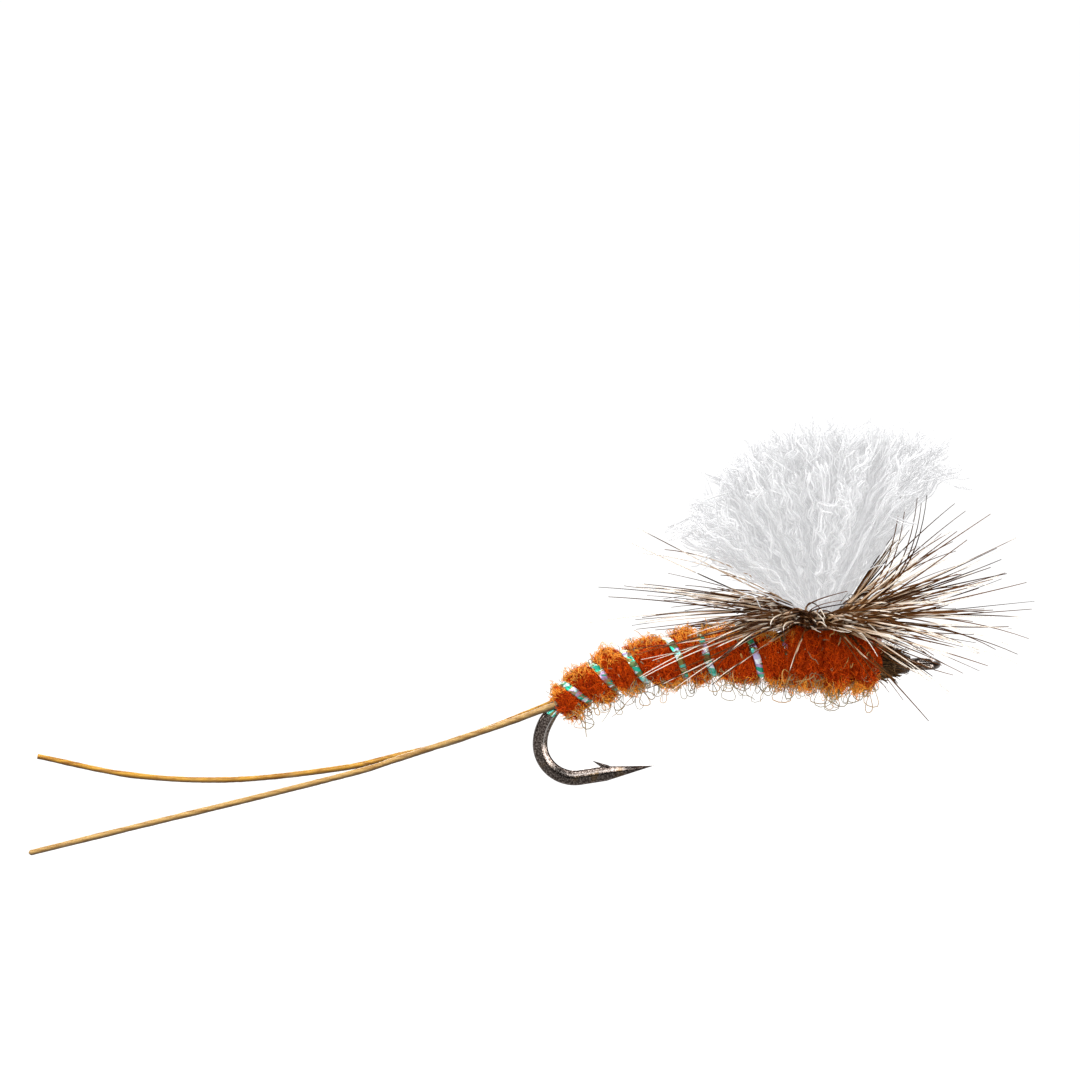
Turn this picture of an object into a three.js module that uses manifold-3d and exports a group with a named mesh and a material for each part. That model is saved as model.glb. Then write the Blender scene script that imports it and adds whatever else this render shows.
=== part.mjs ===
// A parachute dry fly on a size 12 curved-shank hook, as a three.js scene graph.
// Millimetres. +X runs from the bend towards the hook's eye, +Z is up, and Y is across the fly.
// The origin is the middle of the wire at the bottom of the bend, where a vise grips it.
import * as THREE from "three";
import { mergeVertices } from "three/addons/utils/BufferGeometryUtils.js";
import Module from "manifold-3d";

const wasm = await Module();
wasm.setup();

// ---- Driving dimensions ----
// Hook: round wire, forged flat on both sides round the bend, with a ring eye.
const WIRE_RADIUS = 0.26;
const NECK_RADIUS = 0.2; // the wire tapers towards the eye
const FORGED_HALF_WIDTH = 0.3; // in the plane of the bend
const FORGED_HALF_THICKNESS = 0.2; // across the bend: the two flats are at Y = +-0.2
const FORGED_FLAT = 1.35; // how far the section is spread before the flats cut it
const BEND_RADIUS = 1.52;
const SPEAR_RISE = THREE.MathUtils.degToRad(9);
const POINT_X = 3.55;
const POINT_TAPER = 2.2; // length of the ground point
const EYE_RING_RADIUS = 0.6;
const EYE_WIRE_RADIUS = 0.18;
const EYE_X = 15.4;
const EYE_Z = 5.11;
const SHANK_CREST = new THREE.Vector2(6.4, 5.5); // the highest point of the curved shank

// Lengths along the shank, counted forward from the place where the tails are tied in.
const TIE_IN_X = -0.9;
const THREAD_BASE = [0.72, 15.03];
const ABDOMEN = [0, 11.05];
const THORAX_REAR = [11.15, 12.6];
const THORAX_FRONT = [12.68, 15.0];
const HEAD_DUBBING = [15.06, 15.66];
const THREAD_HEAD = [15.7, 16.34];
const POST_ANCHORS = [
  [11.25, 11.75],
  [13.0, 13.5],
]; // thread turns behind and in front of the post's foot

// Thread, tails, body and rib.
const CLEARANCE = 0.03; // between two pieces that touch
const THREAD_BASE_RADIUS = 0.37;
const TAIL_RADIUS = 0.125;
const TAIL_TIE_Y = WIRE_RADIUS + TAIL_RADIUS + CLEARANCE;
const LASHING = [0.12, 0.62];
const LASHING_HALF_HEIGHT = 0.4;
const LASHING_HALF_WIDTH = 0.6;
const BODY_REAR_RADIUS = 0.84;
const BODY_FRONT_RADIUS = 1.22;
const BODY_TAPER = 6.5;
const BODY_END_ROUND = 0.45;
const GROOVE_SHARE = 0.68; // radius at the bottom of the rib's groove, as a share of the body's
const RIB_HALF_WIDTH = 0.2;
const RIB_HALF_THICKNESS = 0.025;
const RIB_CROSSINGS = [1.32, 2.77, 4.15, 6.17, 7.3, 9.53, 10.95]; // on the near side, hand wound
const THORAX_RADIUS = 1.42;
const HEAD_DUBBING_RADIUS = 0.86;
const HEAD_RADII = [0.5, 0.34];
const ANCHOR_RADIUS = 0.6;

// Wing post and hackle.
const POST_X = 10.87;
const POST_FOOT_Z = 5.86;
const POST_FLARE_Z = 7.95; // the locks are bound together below this
const POST_TOP_Z = 15.2;
const POST_LEAN = 0.45; // how far the brush leans towards the eye at its top
const LOCK_PITCH = 0.52; // from the middle lock to its neighbours, where they are bound
const LOCK_SPREAD = 3.2; // the same, at the top
const BRUSH_STRETCH = 1.35; // the brush is wider along the hook than across it
const LOCK_FILL = 0.47; // lock radius as a share of the pitch
const POST_WRAP_RADII = [0.82, 0.9];
const POST_WRAPS_Z = [6.85, 7.85];
const HACKLE_TURNS = 4;
const HACKLE_TOP_Z = 7.7;
const HACKLE_TURN_PITCH = 0.19;
const STEM_RADII = [0.09, 0.06]; // the quill thins from its butt to its tip
const BARB_COUNT = 108;
const BARB_REACH = 9.7; // from the post's axis to the barb tips
const BARB_RADIUS = 0.07;

const Y_AXIS = new THREE.Vector3(0, 1, 0);
const UP = new THREE.Vector3(0, 0, 1);

// ---- Colours ----
const material = (color, roughness, metalness = 0) =>
  new THREE.MeshStandardMaterial({ color, roughness, metalness });
const BLACK_NICKEL = material(0x3a3532, 0.3, 0.9);
const THREAD = material(0x5a3a1c, 0.7);
const BROWN_DUBBING = material(0x6a5136, 0.95);
const QUILL_GOLD = material(0xc48a2a, 0.45);
const QUILL_TAN = material(0xb08c50, 0.5);
const RUST_DUBBING = material(0xb04a0c, 0.95);
const PEARL_TINSEL = material(0x8fd8c0, 0.2, 0.7);
const WHITE_YARN = material(0xf2f2f4, 0.85);
const BARRED_HACKLE = material(0x6b4a34, 0.55);

// ---- Solids ----

// A three.js geometry as a manifold-3d solid.
function solidOf(geometry) {
  const bare = geometry.clone();
  bare.deleteAttribute("normal");
  bare.deleteAttribute("uv");
  const merged = mergeVertices(bare, 1e-5);
  return new wasm.Manifold(
    new wasm.Mesh({
      numProp: 3,
      vertProperties: merged.attributes.position.array,
      triVerts: new Uint32Array(merged.index.array),
    }),
  );
}

// A manifold-3d solid as a three.js geometry.
function geometryOf(solid) {
  const mesh = solid.getMesh();
  const geometry = new THREE.BufferGeometry();
  geometry.setAttribute("position", new THREE.BufferAttribute(mesh.vertProperties, 3));
  geometry.setIndex(new THREE.BufferAttribute(mesh.triVerts, 1));
  return geometry;
}

// A closed skin over a row of rings, each with the same number of points, with flat ends.
function skin(rings) {
  const sides = rings[0].length;
  const last = (rings.length - 1) * sides;
  const index = [];
  for (let ring = 0; ring + 1 < rings.length; ring++) {
    for (let k = 0; k < sides; k++) {
      const a = ring * sides + k;
      const b = ring * sides + ((k + 1) % sides);
      index.push(a, b, b + sides, a, b + sides, a + sides);
    }
  }
  for (let k = 1; k + 1 < sides; k++) {
    index.push(0, k + 1, k);
    index.push(last, last + k, last + k + 1);
  }
  const geometry = new THREE.BufferGeometry().setFromPoints(rings.flat());
  geometry.setIndex(index);
  return geometry;
}

// The cross-sections of a sweep: sectionAt(share, i) gives [up, side] offsets at each point of the line.
function sections(line, sectionAt, reference = Y_AXIS) {
  return line.map((point, i) => {
    const before = line[Math.max(i - 1, 0)];
    const after = line[Math.min(i + 1, line.length - 1)];
    const tangent = after.clone().sub(before).normalize();
    const side = reference.clone().addScaledVector(tangent, -reference.dot(tangent)).normalize();
    const up = new THREE.Vector3().crossVectors(tangent, side);
    return sectionAt(i / (line.length - 1), i).map(([u, v]) =>
      point.clone().addScaledVector(up, u).addScaledVector(side, v),
    );
  });
}

const sweep = (line, sectionAt, reference) => skin(sections(line, sectionAt, reference));

// The offsets of a round or oval section, as [up, side] pairs.
function oval(halfUp, halfSide, sides) {
  return Array.from({ length: sides }, (_, k) => {
    const angle = ((k + 0.5) / sides) * 2 * Math.PI;
    return [halfUp * Math.cos(angle), -halfSide * Math.sin(angle)];
  });
}

const round = (radius, sides) => oval(radius, radius, sides);
const smooth = (x, from, to) => THREE.MathUtils.smoothstep(x, from, to);
const mix = THREE.MathUtils.lerp;

// ---- The wire's line ----

// One flat path in the X-Z plane: curved shank, round bend, straight spear.
const arcEnd = 1.5 * Math.PI + SPEAR_RISE;
const spearStart = new THREE.Vector2(
  BEND_RADIUS * Math.cos(arcEnd),
  BEND_RADIUS + BEND_RADIUS * Math.sin(arcEnd),
);
const pointZ = spearStart.y + (POINT_X - spearStart.x) * Math.tan(SPEAR_RISE);
const wireLine = new THREE.Path()
  .moveTo(EYE_X - EYE_RING_RADIUS, EYE_Z)
  .bezierCurveTo(12.2, 5.28, 9.4, SHANK_CREST.y, SHANK_CREST.x, SHANK_CREST.y)
  .bezierCurveTo(2.0, SHANK_CREST.y, -BEND_RADIUS, 3.62, -BEND_RADIUS, BEND_RADIUS)
  .absarc(0, BEND_RADIUS, BEND_RADIUS, Math.PI, arcEnd, false)
  .lineTo(POINT_X, pointZ);
const wireLength = wireLine.getLength();

// The point on the wire at a distance from the eye's neck.
function onWire(distance) {
  const { x, y } = wireLine.getPoint(THREE.MathUtils.clamp(distance / wireLength, 0, 1));
  return new THREE.Vector3(x, 0, y);
}

// The distance at which the shank, which falls steadily from the eye, is at this X.
function wireDistanceAt(x) {
  let near = 0;
  let far = wireLength - spearStart.distanceTo(new THREE.Vector2(POINT_X, pointZ)) - BEND_RADIUS * (arcEnd - Math.PI);
  for (let step = 0; step < 40; step++) {
    const middle = (near + far) / 2;
    if (onWire(middle).x > x) near = middle;
    else far = middle;
  }
  return near;
}

const tieIn = wireDistanceAt(TIE_IN_X);
const bendStart = wireDistanceAt(-BEND_RADIUS + 0.02);

// Evenly spaced points of the shank from one length to another, counted forward from the tie-in.
function shank([from, to], steps) {
  return Array.from({ length: steps + 1 }, (_, i) => onWire(tieIn - mix(from, to, i / steps)));
}

// A piece threaded on the shank: an outer skin with the shank's hole through it.
function threaded(span, steps, outerAt, holeAt, holeSides = 12) {
  const outer = solidOf(sweep(shank(span, steps), outerAt));
  const longer = [span[0] - 0.2, span[1] + 0.2];
  const hole = solidOf(sweep(shank(longer, Math.max(2, Math.ceil(steps / 2))), () => holeAt(holeSides)));
  return outer.subtract(hole);
}

const overWire = (sides) => round(WIRE_RADIUS + CLEARANCE, sides);
const overThread = (sides) => round(THREAD_BASE_RADIUS + CLEARANCE, sides);

// ---- Hook ----

function hook() {
  const steps = 64;
  const sides = 16;
  const line = Array.from({ length: steps + 1 }, (_, i) => onWire((i / steps) * wireLength));
  const wire = sweep(line, (share) => {
    const distance = share * wireLength;
    const forged = smooth(distance, tieIn + 0.4, bendStart);
    const neck = mix(NECK_RADIUS, WIRE_RADIUS, smooth(distance, 0, 1.6));
    const point = THREE.MathUtils.clamp((wireLength - distance) / POINT_TAPER, 0.04, 1);
    const halfWidth = mix(neck, FORGED_HALF_WIDTH, forged) * point;
    const halfThickness = mix(neck, FORGED_HALF_THICKNESS, forged) * Math.sqrt(point);
    const flat = mix(1, FORGED_FLAT, forged);
    return round(1, sides).map(([u, v]) => [
      u * halfWidth,
      THREE.MathUtils.clamp(v * flat, -1, 1) * halfThickness,
    ]);
  });
  const ring = new THREE.TorusGeometry(EYE_RING_RADIUS, EYE_WIRE_RADIUS, 10, 28);
  ring.translate(EYE_X, 0, EYE_Z);
  return solidOf(wire).add(solidOf(ring)).add(barb());
}

// The barb: a sliver cut from the inside of the spear and raised towards the bend.
function barb() {
  const onSpear = (x) => spearStart.y + (x - spearStart.x) * Math.tan(SPEAR_RISE);
  const root = POINT_X - 1.85;
  const outline = new THREE.Shape([
    new THREE.Vector2(root, onSpear(root) + 0.1),
    new THREE.Vector2(root + 0.02, onSpear(root) + 0.24),
    new THREE.Vector2(root - 0.64, onSpear(root) + 0.55),
    new THREE.Vector2(root - 0.4, onSpear(root - 0.4) + 0.2),
  ]);
  const depth = 0.22;
  const sliver = new THREE.ExtrudeGeometry(outline, { depth, bevelEnabled: false });
  sliver.rotateX(Math.PI / 2); // the outline's Y becomes Z
  sliver.translate(0, depth / 2, 0);
  return solidOf(sliver);
}

// ---- Thread ----

// Touching turns of thread, as a sleeve whose skin is ridged once for every few turns.
function wraps(span, ridges, innerSides, radiusAt, widen = 1) {
  const steps = ridges * 2;
  return threaded(
    span,
    steps,
    (share, i) => {
      const radius = radiusAt(share) - (i % 2 ? 0 : 0.03);
      return oval(radius, radius * widen, 14);
    },
    innerSides,
  );
}

const threadBase = () => wraps(THREAD_BASE, 16, overWire, () => THREAD_BASE_RADIUS);

const tailLashing = () =>
  wraps(LASHING, 3, overWire, () => LASHING_HALF_HEIGHT, LASHING_HALF_WIDTH / LASHING_HALF_HEIGHT)
    .subtract(tail(FAR_TAIL, TAIL_RADIUS + CLEARANCE))
    .subtract(tail(NEAR_TAIL, TAIL_RADIUS + CLEARANCE));

const postAnchor = (span) => wraps(span, 2, overThread, () => ANCHOR_RADIUS);

const threadHead = () =>
  wraps(THREAD_HEAD, 3, overWire, (share) => mix(HEAD_RADII[0], HEAD_RADII[1], share ** 1.4));

// ---- Tails ----

// Each quill lies along its own side of the shank under the lashing, then sweeps back and splays.
function tailLine(side, splay, profile) {
  const tied = [0.85, 0.45, 0.05].map((along) => onWire(tieIn - along).setY(side * TAIL_TIE_Y));
  const free = profile.map(([x, z]) => {
    const out = (TIE_IN_X - x) / (TIE_IN_X - profile.at(-1)[0]);
    return new THREE.Vector3(x, side * mix(TAIL_TIE_Y, splay, out), z);
  });
  return [...tied, ...free];
}
const FAR_TAIL = tailLine(1, 2.2, [
  [-2.4, 2.72],
  [-5.66, 1.5],
  [-10.37, 0.31],
  [-15.24, -0.33],
  [-19.8, -0.25],
  [-24.1, 0.52],
]);
const NEAR_TAIL = tailLine(-1, 2.5, [
  [-2.4, 2.75],
  [-5.68, 1.58],
  [-9.59, 0.39],
  [-14.3, -0.72],
  [-19.0, -1.78],
  [-23.85, -2.86],
]);

function tail(points, radius) {
  const line = new THREE.CatmullRomCurve3(points).getSpacedPoints(34);
  return solidOf(sweep(line, (share) => oval(radius, radius * mix(1, 0.8, share), 8)));
}

// ---- Dubbed body and rib ----

// The body's radius over its bulges: it thickens forward and is rounded at the rear.
function bodyRadius(along) {
  const taper = mix(BODY_REAR_RADIUS, BODY_FRONT_RADIUS, smooth(along, 0.6, BODY_TAPER));
  const ends = THREE.MathUtils.clamp((along - ABDOMEN[0]) / BODY_END_ROUND, 0, 1);
  return taper * mix(0.8, 1, Math.sqrt(ends * (2 - ends)));
}

// Turns of the rib laid by this length along the shank: a whole number at each crossing of the near side.
function ribTurns(along) {
  const marks = [RIB_CROSSINGS[0] - 1.4, ...RIB_CROSSINGS, RIB_CROSSINGS.at(-1) + 1.7];
  let k = 0;
  while (k + 2 < marks.length && along > marks[k + 1]) k++;
  return k + (along - marks[k]) / (marks[k + 1] - marks[k]);
}

// The length along the shank at which this many turns of the rib are laid.
function ribPlace(turns) {
  const marks = [RIB_CROSSINGS[0] - 1.4, ...RIB_CROSSINGS, RIB_CROSSINGS.at(-1) + 1.7];
  const k = THREE.MathUtils.clamp(Math.floor(turns), 0, marks.length - 2);
  return mix(marks[k], marks[k + 1], turns - k);
}

// One turn of dubbed thread lies between two turns of the rib, so the skin has a helical groove.
// The angle runs from the top over the near side, which the crossings count from.
function dubbedRadius(along, angle) {
  const phase = ribTurns(along) - (angle / (2 * Math.PI) - 0.25);
  const fromRib = Math.abs(phase - Math.round(phase)) * 2;
  const bulge = Math.max(Math.sqrt(smooth(fromRib, 0.3, 1)), 1 - smooth(along, 0.6, 1));
  return bodyRadius(along) * mix(GROOVE_SHARE, 1, bulge);
}

function abdomen() {
  const steps = 56;
  const sides = 18;
  const body = threaded(
    ABDOMEN,
    steps,
    (share) => {
      const along = mix(ABDOMEN[0], ABDOMEN[1], share);
      return Array.from({ length: sides }, (_, k) => {
        const angle = ((k + 0.5) / sides) * 2 * Math.PI;
        const radius = dubbedRadius(along, angle);
        return [radius * Math.cos(angle), -radius * Math.sin(angle)];
      });
    },
    overThread,
  );
  const lashingRoom = sweep(shank([LASHING[0] - 0.05, LASHING[1] + 0.05], 3), () =>
    oval(LASHING_HALF_HEIGHT + CLEARANCE, LASHING_HALF_WIDTH + CLEARANCE, 14),
  );
  return body
    .subtract(solidOf(lashingRoom))
    .subtract(tail(FAR_TAIL, TAIL_RADIUS + CLEARANCE))
    .subtract(tail(NEAR_TAIL, TAIL_RADIUS + CLEARANCE));
}

// The rib: one flat strip of pearl tinsel, wound through the groove.
function rib() {
  const from = 0.7;
  const to = RIB_CROSSINGS.length + 0.05;
  const perTurn = 20;
  const steps = Math.round((to - from) * perTurn);
  const rings = Array.from({ length: steps + 1 }, (_, i) => {
    const turns = mix(from, to, i / steps);
    const along = ribPlace(turns);
    const angle = (turns + 0.25) * 2 * Math.PI;
    const middle = onWire(tieIn - along);
    const forward = onWire(tieIn - along - 0.01).sub(middle).normalize();
    const up = new THREE.Vector3().crossVectors(forward, Y_AXIS).normalize();
    const out = up.multiplyScalar(Math.cos(angle)).addScaledVector(Y_AXIS, -Math.sin(angle));
    const radius = bodyRadius(along) * GROOVE_SHARE + RIB_HALF_THICKNESS + 0.05;
    const corner = (width, height) =>
      middle
        .clone()
        .addScaledVector(forward, width * RIB_HALF_WIDTH)
        .addScaledVector(out, radius + height * RIB_HALF_THICKNESS);
    return [corner(-1, -1), corner(1, -1), corner(1, 1), corner(-1, 1)];
  });
  return solidOf(skin(rings));
}

// A turn of dubbing with rounded ends, as a barrel threaded on the shank.
function dubbingBarrel(span, radius, endShare, overWhat) {
  const bulge = (share) => Math.sqrt(Math.sin(Math.PI * mix(0.04, 0.96, share)));
  return threaded(span, 9, (share) => round(radius * mix(endShare, 1, bulge(share)), 18), overWhat);
}

// Dubbing round the foot of the post and over the thread that anchors it.
function thorax(span) {
  const postRoom = new THREE.CylinderGeometry(POST_ROOM, POST_ROOM, 4, 16).rotateX(Math.PI / 2);
  postRoom.translate(POST_X, 0, POST_FOOT_Z + 2 - 2 * CLEARANCE);
  const covered = [POST_ANCHORS[0][0] - 0.05, POST_ANCHORS[1][1] + 0.05];
  const anchorRoom = sweep(shank(covered, 2), () => round(ANCHOR_RADIUS + CLEARANCE, 10));
  const rooms = solidOf(postRoom).add(solidOf(anchorRoom));
  return dubbingBarrel(span, THORAX_RADIUS, 0.72, overThread).subtract(rooms);
}
const POST_ROOM = LOCK_PITCH + LOCK_FILL * LOCK_PITCH + CLEARANCE;

const headDubbing = () => dubbingBarrel(HEAD_DUBBING, HEAD_DUBBING_RADIUS, 0.6, overWire);

// ---- Wing post ----

// Seven locks of yarn, one in the middle and six round it. They are packed side by side where
// the thread binds them, and fan out above it in the same pattern.
function lockOffsets() {
  const ringOf = (k) => (k / 6) * 2 * Math.PI;
  const around = Array.from({ length: 6 }, (_, k) => [Math.cos(ringOf(k)), Math.sin(ringOf(k))]);
  return [[0, 0], ...around];
}

function lock([alongHook, across]) {
  const steps = 9;
  const rings = Array.from({ length: steps + 1 }, (_, i) => {
    const share = i / steps;
    const outer = Math.hypot(alongHook, across);
    const top = POST_TOP_Z - 1.1 * outer;
    const z = mix(POST_FOOT_Z, top, share);
    const flare = Math.max(0, (z - POST_FLARE_Z) / (POST_TOP_Z - POST_FLARE_Z));
    const pitch = mix(LOCK_PITCH, LOCK_SPREAD, flare ** 0.9);
    const stretch = mix(1, BRUSH_STRETCH, smooth(flare, 0, 0.5));
    const tuft = share > 0.99 ? 0.55 : 1; // the cut tips are rounded
    const radius = LOCK_FILL * pitch * tuft;
    const x = POST_X + alongHook * pitch * stretch + POST_LEAN * flare;
    return round(radius, 10).map(([u, v]) =>
      new THREE.Vector3(x + u * mix(1, stretch, 0.8), across * pitch - v, z),
    );
  });
  return solidOf(skin(rings));
}

// A ring of thread round the upright post, its section a row of low ridges.
function postSleeve([inner, outer], [low, high], ridges) {
  const profile = [new THREE.Vector2(inner, low)];
  for (let k = 0; k <= ridges * 2; k++) {
    profile.push(new THREE.Vector2(outer - (k % 2 ? 0 : 0.02), mix(low, high, k / (ridges * 2))));
  }
  profile.push(new THREE.Vector2(inner, high), new THREE.Vector2(inner, low));
  const sleeve = new THREE.LatheGeometry(profile, 24).rotateX(Math.PI / 2);
  sleeve.translate(POST_X, 0, 0);
  return sleeve;
}

// ---- Hackle ----

// The feather's quill, wound round the post from the top down.
function stemPoint(turns) {
  const angle = turns * 2 * Math.PI;
  const radius = POST_WRAP_RADII[1] + STEM_RADII[0] + CLEARANCE;
  const z = HACKLE_TOP_Z - STEM_RADII[0] - turns * HACKLE_TURN_PITCH;
  return new THREE.Vector3(POST_X + radius * Math.cos(angle), radius * Math.sin(angle), z);
}

// A repeatable scatter between -1 and 1.
const scatter = (k, seed) => 2 * THREE.MathUtils.euclideanModulo(Math.sin(k * 12.9898 + seed) * 43758.5, 1) - 1;

// One barb: a thin tapered spike that leans with the winding, rises or dips a little and droops.
function hackleBarb(k) {
  const turns = (k / BARB_COUNT) * HACKLE_TURNS;
  const root = stemPoint(turns);
  const heading = turns * 2 * Math.PI + THREE.MathUtils.degToRad(14 + 8 * scatter(k, 1));
  const sideways = Math.abs(Math.sin(heading));
  const rise = THREE.MathUtils.degToRad(mix(7, 2, sideways) + mix(6, 15, sideways) * scatter(k, 2));
  const reach = BARB_REACH * (0.92 + 0.08 * scatter(k, 3)) - 1;
  const line = [0, 0.5, 1].map((share) => {
    const out = share * reach;
    const droop = 0.5 * share * share;
    return root
      .clone()
      .add(new THREE.Vector3(out * Math.cos(heading), out * Math.sin(heading), out * Math.tan(rise) - droop));
  });
  return solidOf(sweep(line, (share) => round(BARB_RADIUS * mix(1, 0.2, share), 3), UP));
}

function hackle() {
  const steps = HACKLE_TURNS * 16;
  const line = Array.from({ length: steps + 1 }, (_, i) => stemPoint((i / steps) * HACKLE_TURNS));
  const stem = solidOf(sweep(line, (share) => round(mix(STEM_RADII[0], STEM_RADII[1], share), 6), UP));
  return Array.from({ length: BARB_COUNT }, (_, k) => hackleBarb(k)).reduce(
    (feather, barbSolid) => feather.add(barbSolid),
    stem,
  );
}

// ---- Assembly ----

const fly = new THREE.Group();

function place(name, shape, look) {
  const geometry = shape.isBufferGeometry ? shape : geometryOf(shape);
  const mesh = new THREE.Mesh(geometry, look);
  mesh.name = name;
  fly.add(mesh);
}

place("hook", hook(), BLACK_NICKEL);
place("thread_base", threadBase(), THREAD);
place("tail_quill_far", tail(FAR_TAIL, TAIL_RADIUS), QUILL_GOLD);
place("tail_quill_near", tail(NEAR_TAIL, TAIL_RADIUS), QUILL_TAN);
place("tail_lashing", tailLashing(), THREAD);
place("abdomen_dubbing", abdomen(), RUST_DUBBING);
place("rib_tinsel", rib(), PEARL_TINSEL);
POST_ANCHORS.forEach((span, k) => place(`post_anchor_${["rear", "front"][k]}`, postAnchor(span), THREAD));
place("thorax_dubbing_rear", thorax(THORAX_REAR), RUST_DUBBING);
place("thorax_dubbing_front", thorax(THORAX_FRONT), RUST_DUBBING);
lockOffsets().forEach((offset, k) => place(`wing_lock_${k + 1}`, lock(offset), WHITE_YARN));
place("post_thread_wraps", postSleeve(POST_WRAP_RADII, POST_WRAPS_Z, 5), THREAD);
place("hackle_feather", hackle(), BARRED_HACKLE);
place("head_dubbing", headDubbing(), BROWN_DUBBING);
place("thread_head", threadHead(), THREAD);

export default fly;
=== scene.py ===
import math

import bpy
import numpy as np
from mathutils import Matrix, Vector


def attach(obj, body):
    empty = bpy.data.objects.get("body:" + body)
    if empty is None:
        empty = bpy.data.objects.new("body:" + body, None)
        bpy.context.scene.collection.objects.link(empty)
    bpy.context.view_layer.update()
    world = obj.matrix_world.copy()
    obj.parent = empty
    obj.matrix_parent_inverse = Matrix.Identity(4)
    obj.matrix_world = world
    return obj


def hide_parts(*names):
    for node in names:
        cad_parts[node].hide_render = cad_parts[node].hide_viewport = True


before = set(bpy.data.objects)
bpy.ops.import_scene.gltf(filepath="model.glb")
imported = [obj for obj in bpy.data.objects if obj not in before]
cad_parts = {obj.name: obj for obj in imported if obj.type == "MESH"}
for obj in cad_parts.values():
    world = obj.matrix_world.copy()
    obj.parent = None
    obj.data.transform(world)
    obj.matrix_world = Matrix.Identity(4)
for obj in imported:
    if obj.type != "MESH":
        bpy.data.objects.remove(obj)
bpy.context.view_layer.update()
MM = 0.001  # everything below is worked out in millimetres, and scaled once, in the mesh

# %% [markdown]
# ## Camera, floor and light
# A fly is smaller than a thumbnail, so it is taken with a long lens from close by, almost level with it.
# The floor and the wall behind are one white sheet with a soft curve between them, as in a light tent,
# and the light comes from soft panels: one in front on the left, two long strips above and on the right that
# draw a bright line along the polished wire, and one behind that glows through the tails and the loose fur.
# %% Camera
LOOK_AT = (-1.54, 0.0, 10.63)  # mm
CAMERA_RISE = math.radians(7)
CAMERA_DISTANCE = 132.0

camera_data = bpy.data.cameras.new("camera")
camera_data.lens = 100
camera_data.sensor_width = 36
camera_data.clip_start = 0.005
camera_data.clip_end = 5
camera = bpy.data.objects.new("camera", camera_data)
bpy.context.scene.collection.objects.link(camera)
backward = np.array([0, -math.cos(CAMERA_RISE), math.sin(CAMERA_RISE)])
camera.location = (np.array(LOOK_AT) + backward * CAMERA_DISTANCE) * MM
camera.rotation_euler = (Vector(LOOK_AT) * MM - camera.location).to_track_quat("-Z", "Y").to_euler()
bpy.context.scene.camera = camera


# %% Grids into meshes
def mesh_piece(name, points, faces, uv=None, tone=None):
    """An object from an array of points in mm and an array of corner numbers, one row per face.

    faces may be a list of arrays, since quads and triangles have rows of different length. uv is one pair
    per point, and tone one number per point, which the material can read as the attribute "tone".
    """
    groups = faces if isinstance(faces, list) else [faces]
    corners = np.concatenate([g.ravel() for g in groups]).astype(np.int32)
    sizes = np.concatenate([np.full(len(g), g.shape[1]) for g in groups]).astype(np.int32)
    mesh = bpy.data.meshes.new(name)
    mesh.vertices.add(len(points))
    mesh.vertices.foreach_set("co", (np.asarray(points) * MM).astype(np.float32).ravel())
    mesh.loops.add(len(corners))
    mesh.loops.foreach_set("vertex_index", corners)
    mesh.polygons.add(len(sizes))
    mesh.polygons.foreach_set("loop_start", np.concatenate([[0], np.cumsum(sizes)[:-1]]).astype(np.int32))
    mesh.polygons.foreach_set("use_smooth", np.full(len(sizes), True))
    mesh.update(calc_edges=True)
    if uv is not None:
        layer = mesh.uv_layers.new(name="lie")
        layer.data.foreach_set("uv", np.asarray(uv, dtype=np.float32)[corners].ravel())
    if tone is not None:
        mesh.attributes.new("tone", "FLOAT", "POINT").data.foreach_set("value", tone.astype(np.float32).ravel())
    mesh.validate()
    piece = bpy.data.objects.new(name, mesh)
    bpy.context.scene.collection.objects.link(piece)
    return piece


def grid_faces(rows, columns, around=True):
    """Quads between neighbouring points of a rows by columns grid, joined round from last column to first."""
    row = np.arange(rows - 1)[:, None] * columns
    column = np.arange(columns if around else columns - 1)[None, :]
    following = (column + 1) % columns
    quads = [row + column, row + following, row + columns + following, row + columns + column]
    return np.stack(quads, -1).reshape(-1, 4)


def closed_skin(grid):
    """Points and faces of a tube given as rows of rings, with a fan of triangles over each end."""
    rows, columns = grid.shape[:2]
    points = np.concatenate([grid.reshape(-1, 3), grid[:1].mean(1), grid[-1:].mean(1)])
    k = np.arange(columns)
    after = (k + 1) % columns
    first = np.stack([np.full(columns, rows * columns), after, k], -1)
    last = (rows - 1) * columns
    final = np.stack([np.full(columns, rows * columns + 1), last + k, last + after], -1)
    return points, [grid_faces(rows, columns), np.concatenate([first, final])]


def unit(vectors):
    """Each vector divided by its length."""
    return vectors / np.maximum(np.linalg.norm(vectors, axis=-1, keepdims=True), 1e-9)


def carried_sides(paths, start=(0.13, 1.0, 0.07)):
    """Tangents and two square sides along each path, carried from point to point so that nothing twists."""
    tangent = unit(np.gradient(paths, axis=-2))
    side = np.empty_like(tangent)
    guess = np.broadcast_to(np.array(start, float), tangent[..., 0, :].shape)
    for k in range(paths.shape[-2]):
        t = tangent[..., k, :]
        guess = unit(guess - t * (guess * t).sum(-1, keepdims=True))
        side[..., k, :] = guess
    return tangent, side, np.cross(tangent, side)


def swept(path, section):
    """Rings along one path: section holds, per ring, the (up, side) offsets of its points in mm."""
    _, side, up = carried_sides(path)
    return path[:, None] + section[..., :1] * up[:, None] + section[..., 1:] * side[:, None]


def ring_section(radius, count, flat=1.0):
    """Offsets of a round section: radius times (cosine, sine), its second axis multiplied by flat."""
    turn = np.arange(count) / count * 2 * np.pi
    return np.asarray(radius)[:, None, None] * np.stack([np.cos(turn), -flat * np.sin(turn)], -1)


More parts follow.
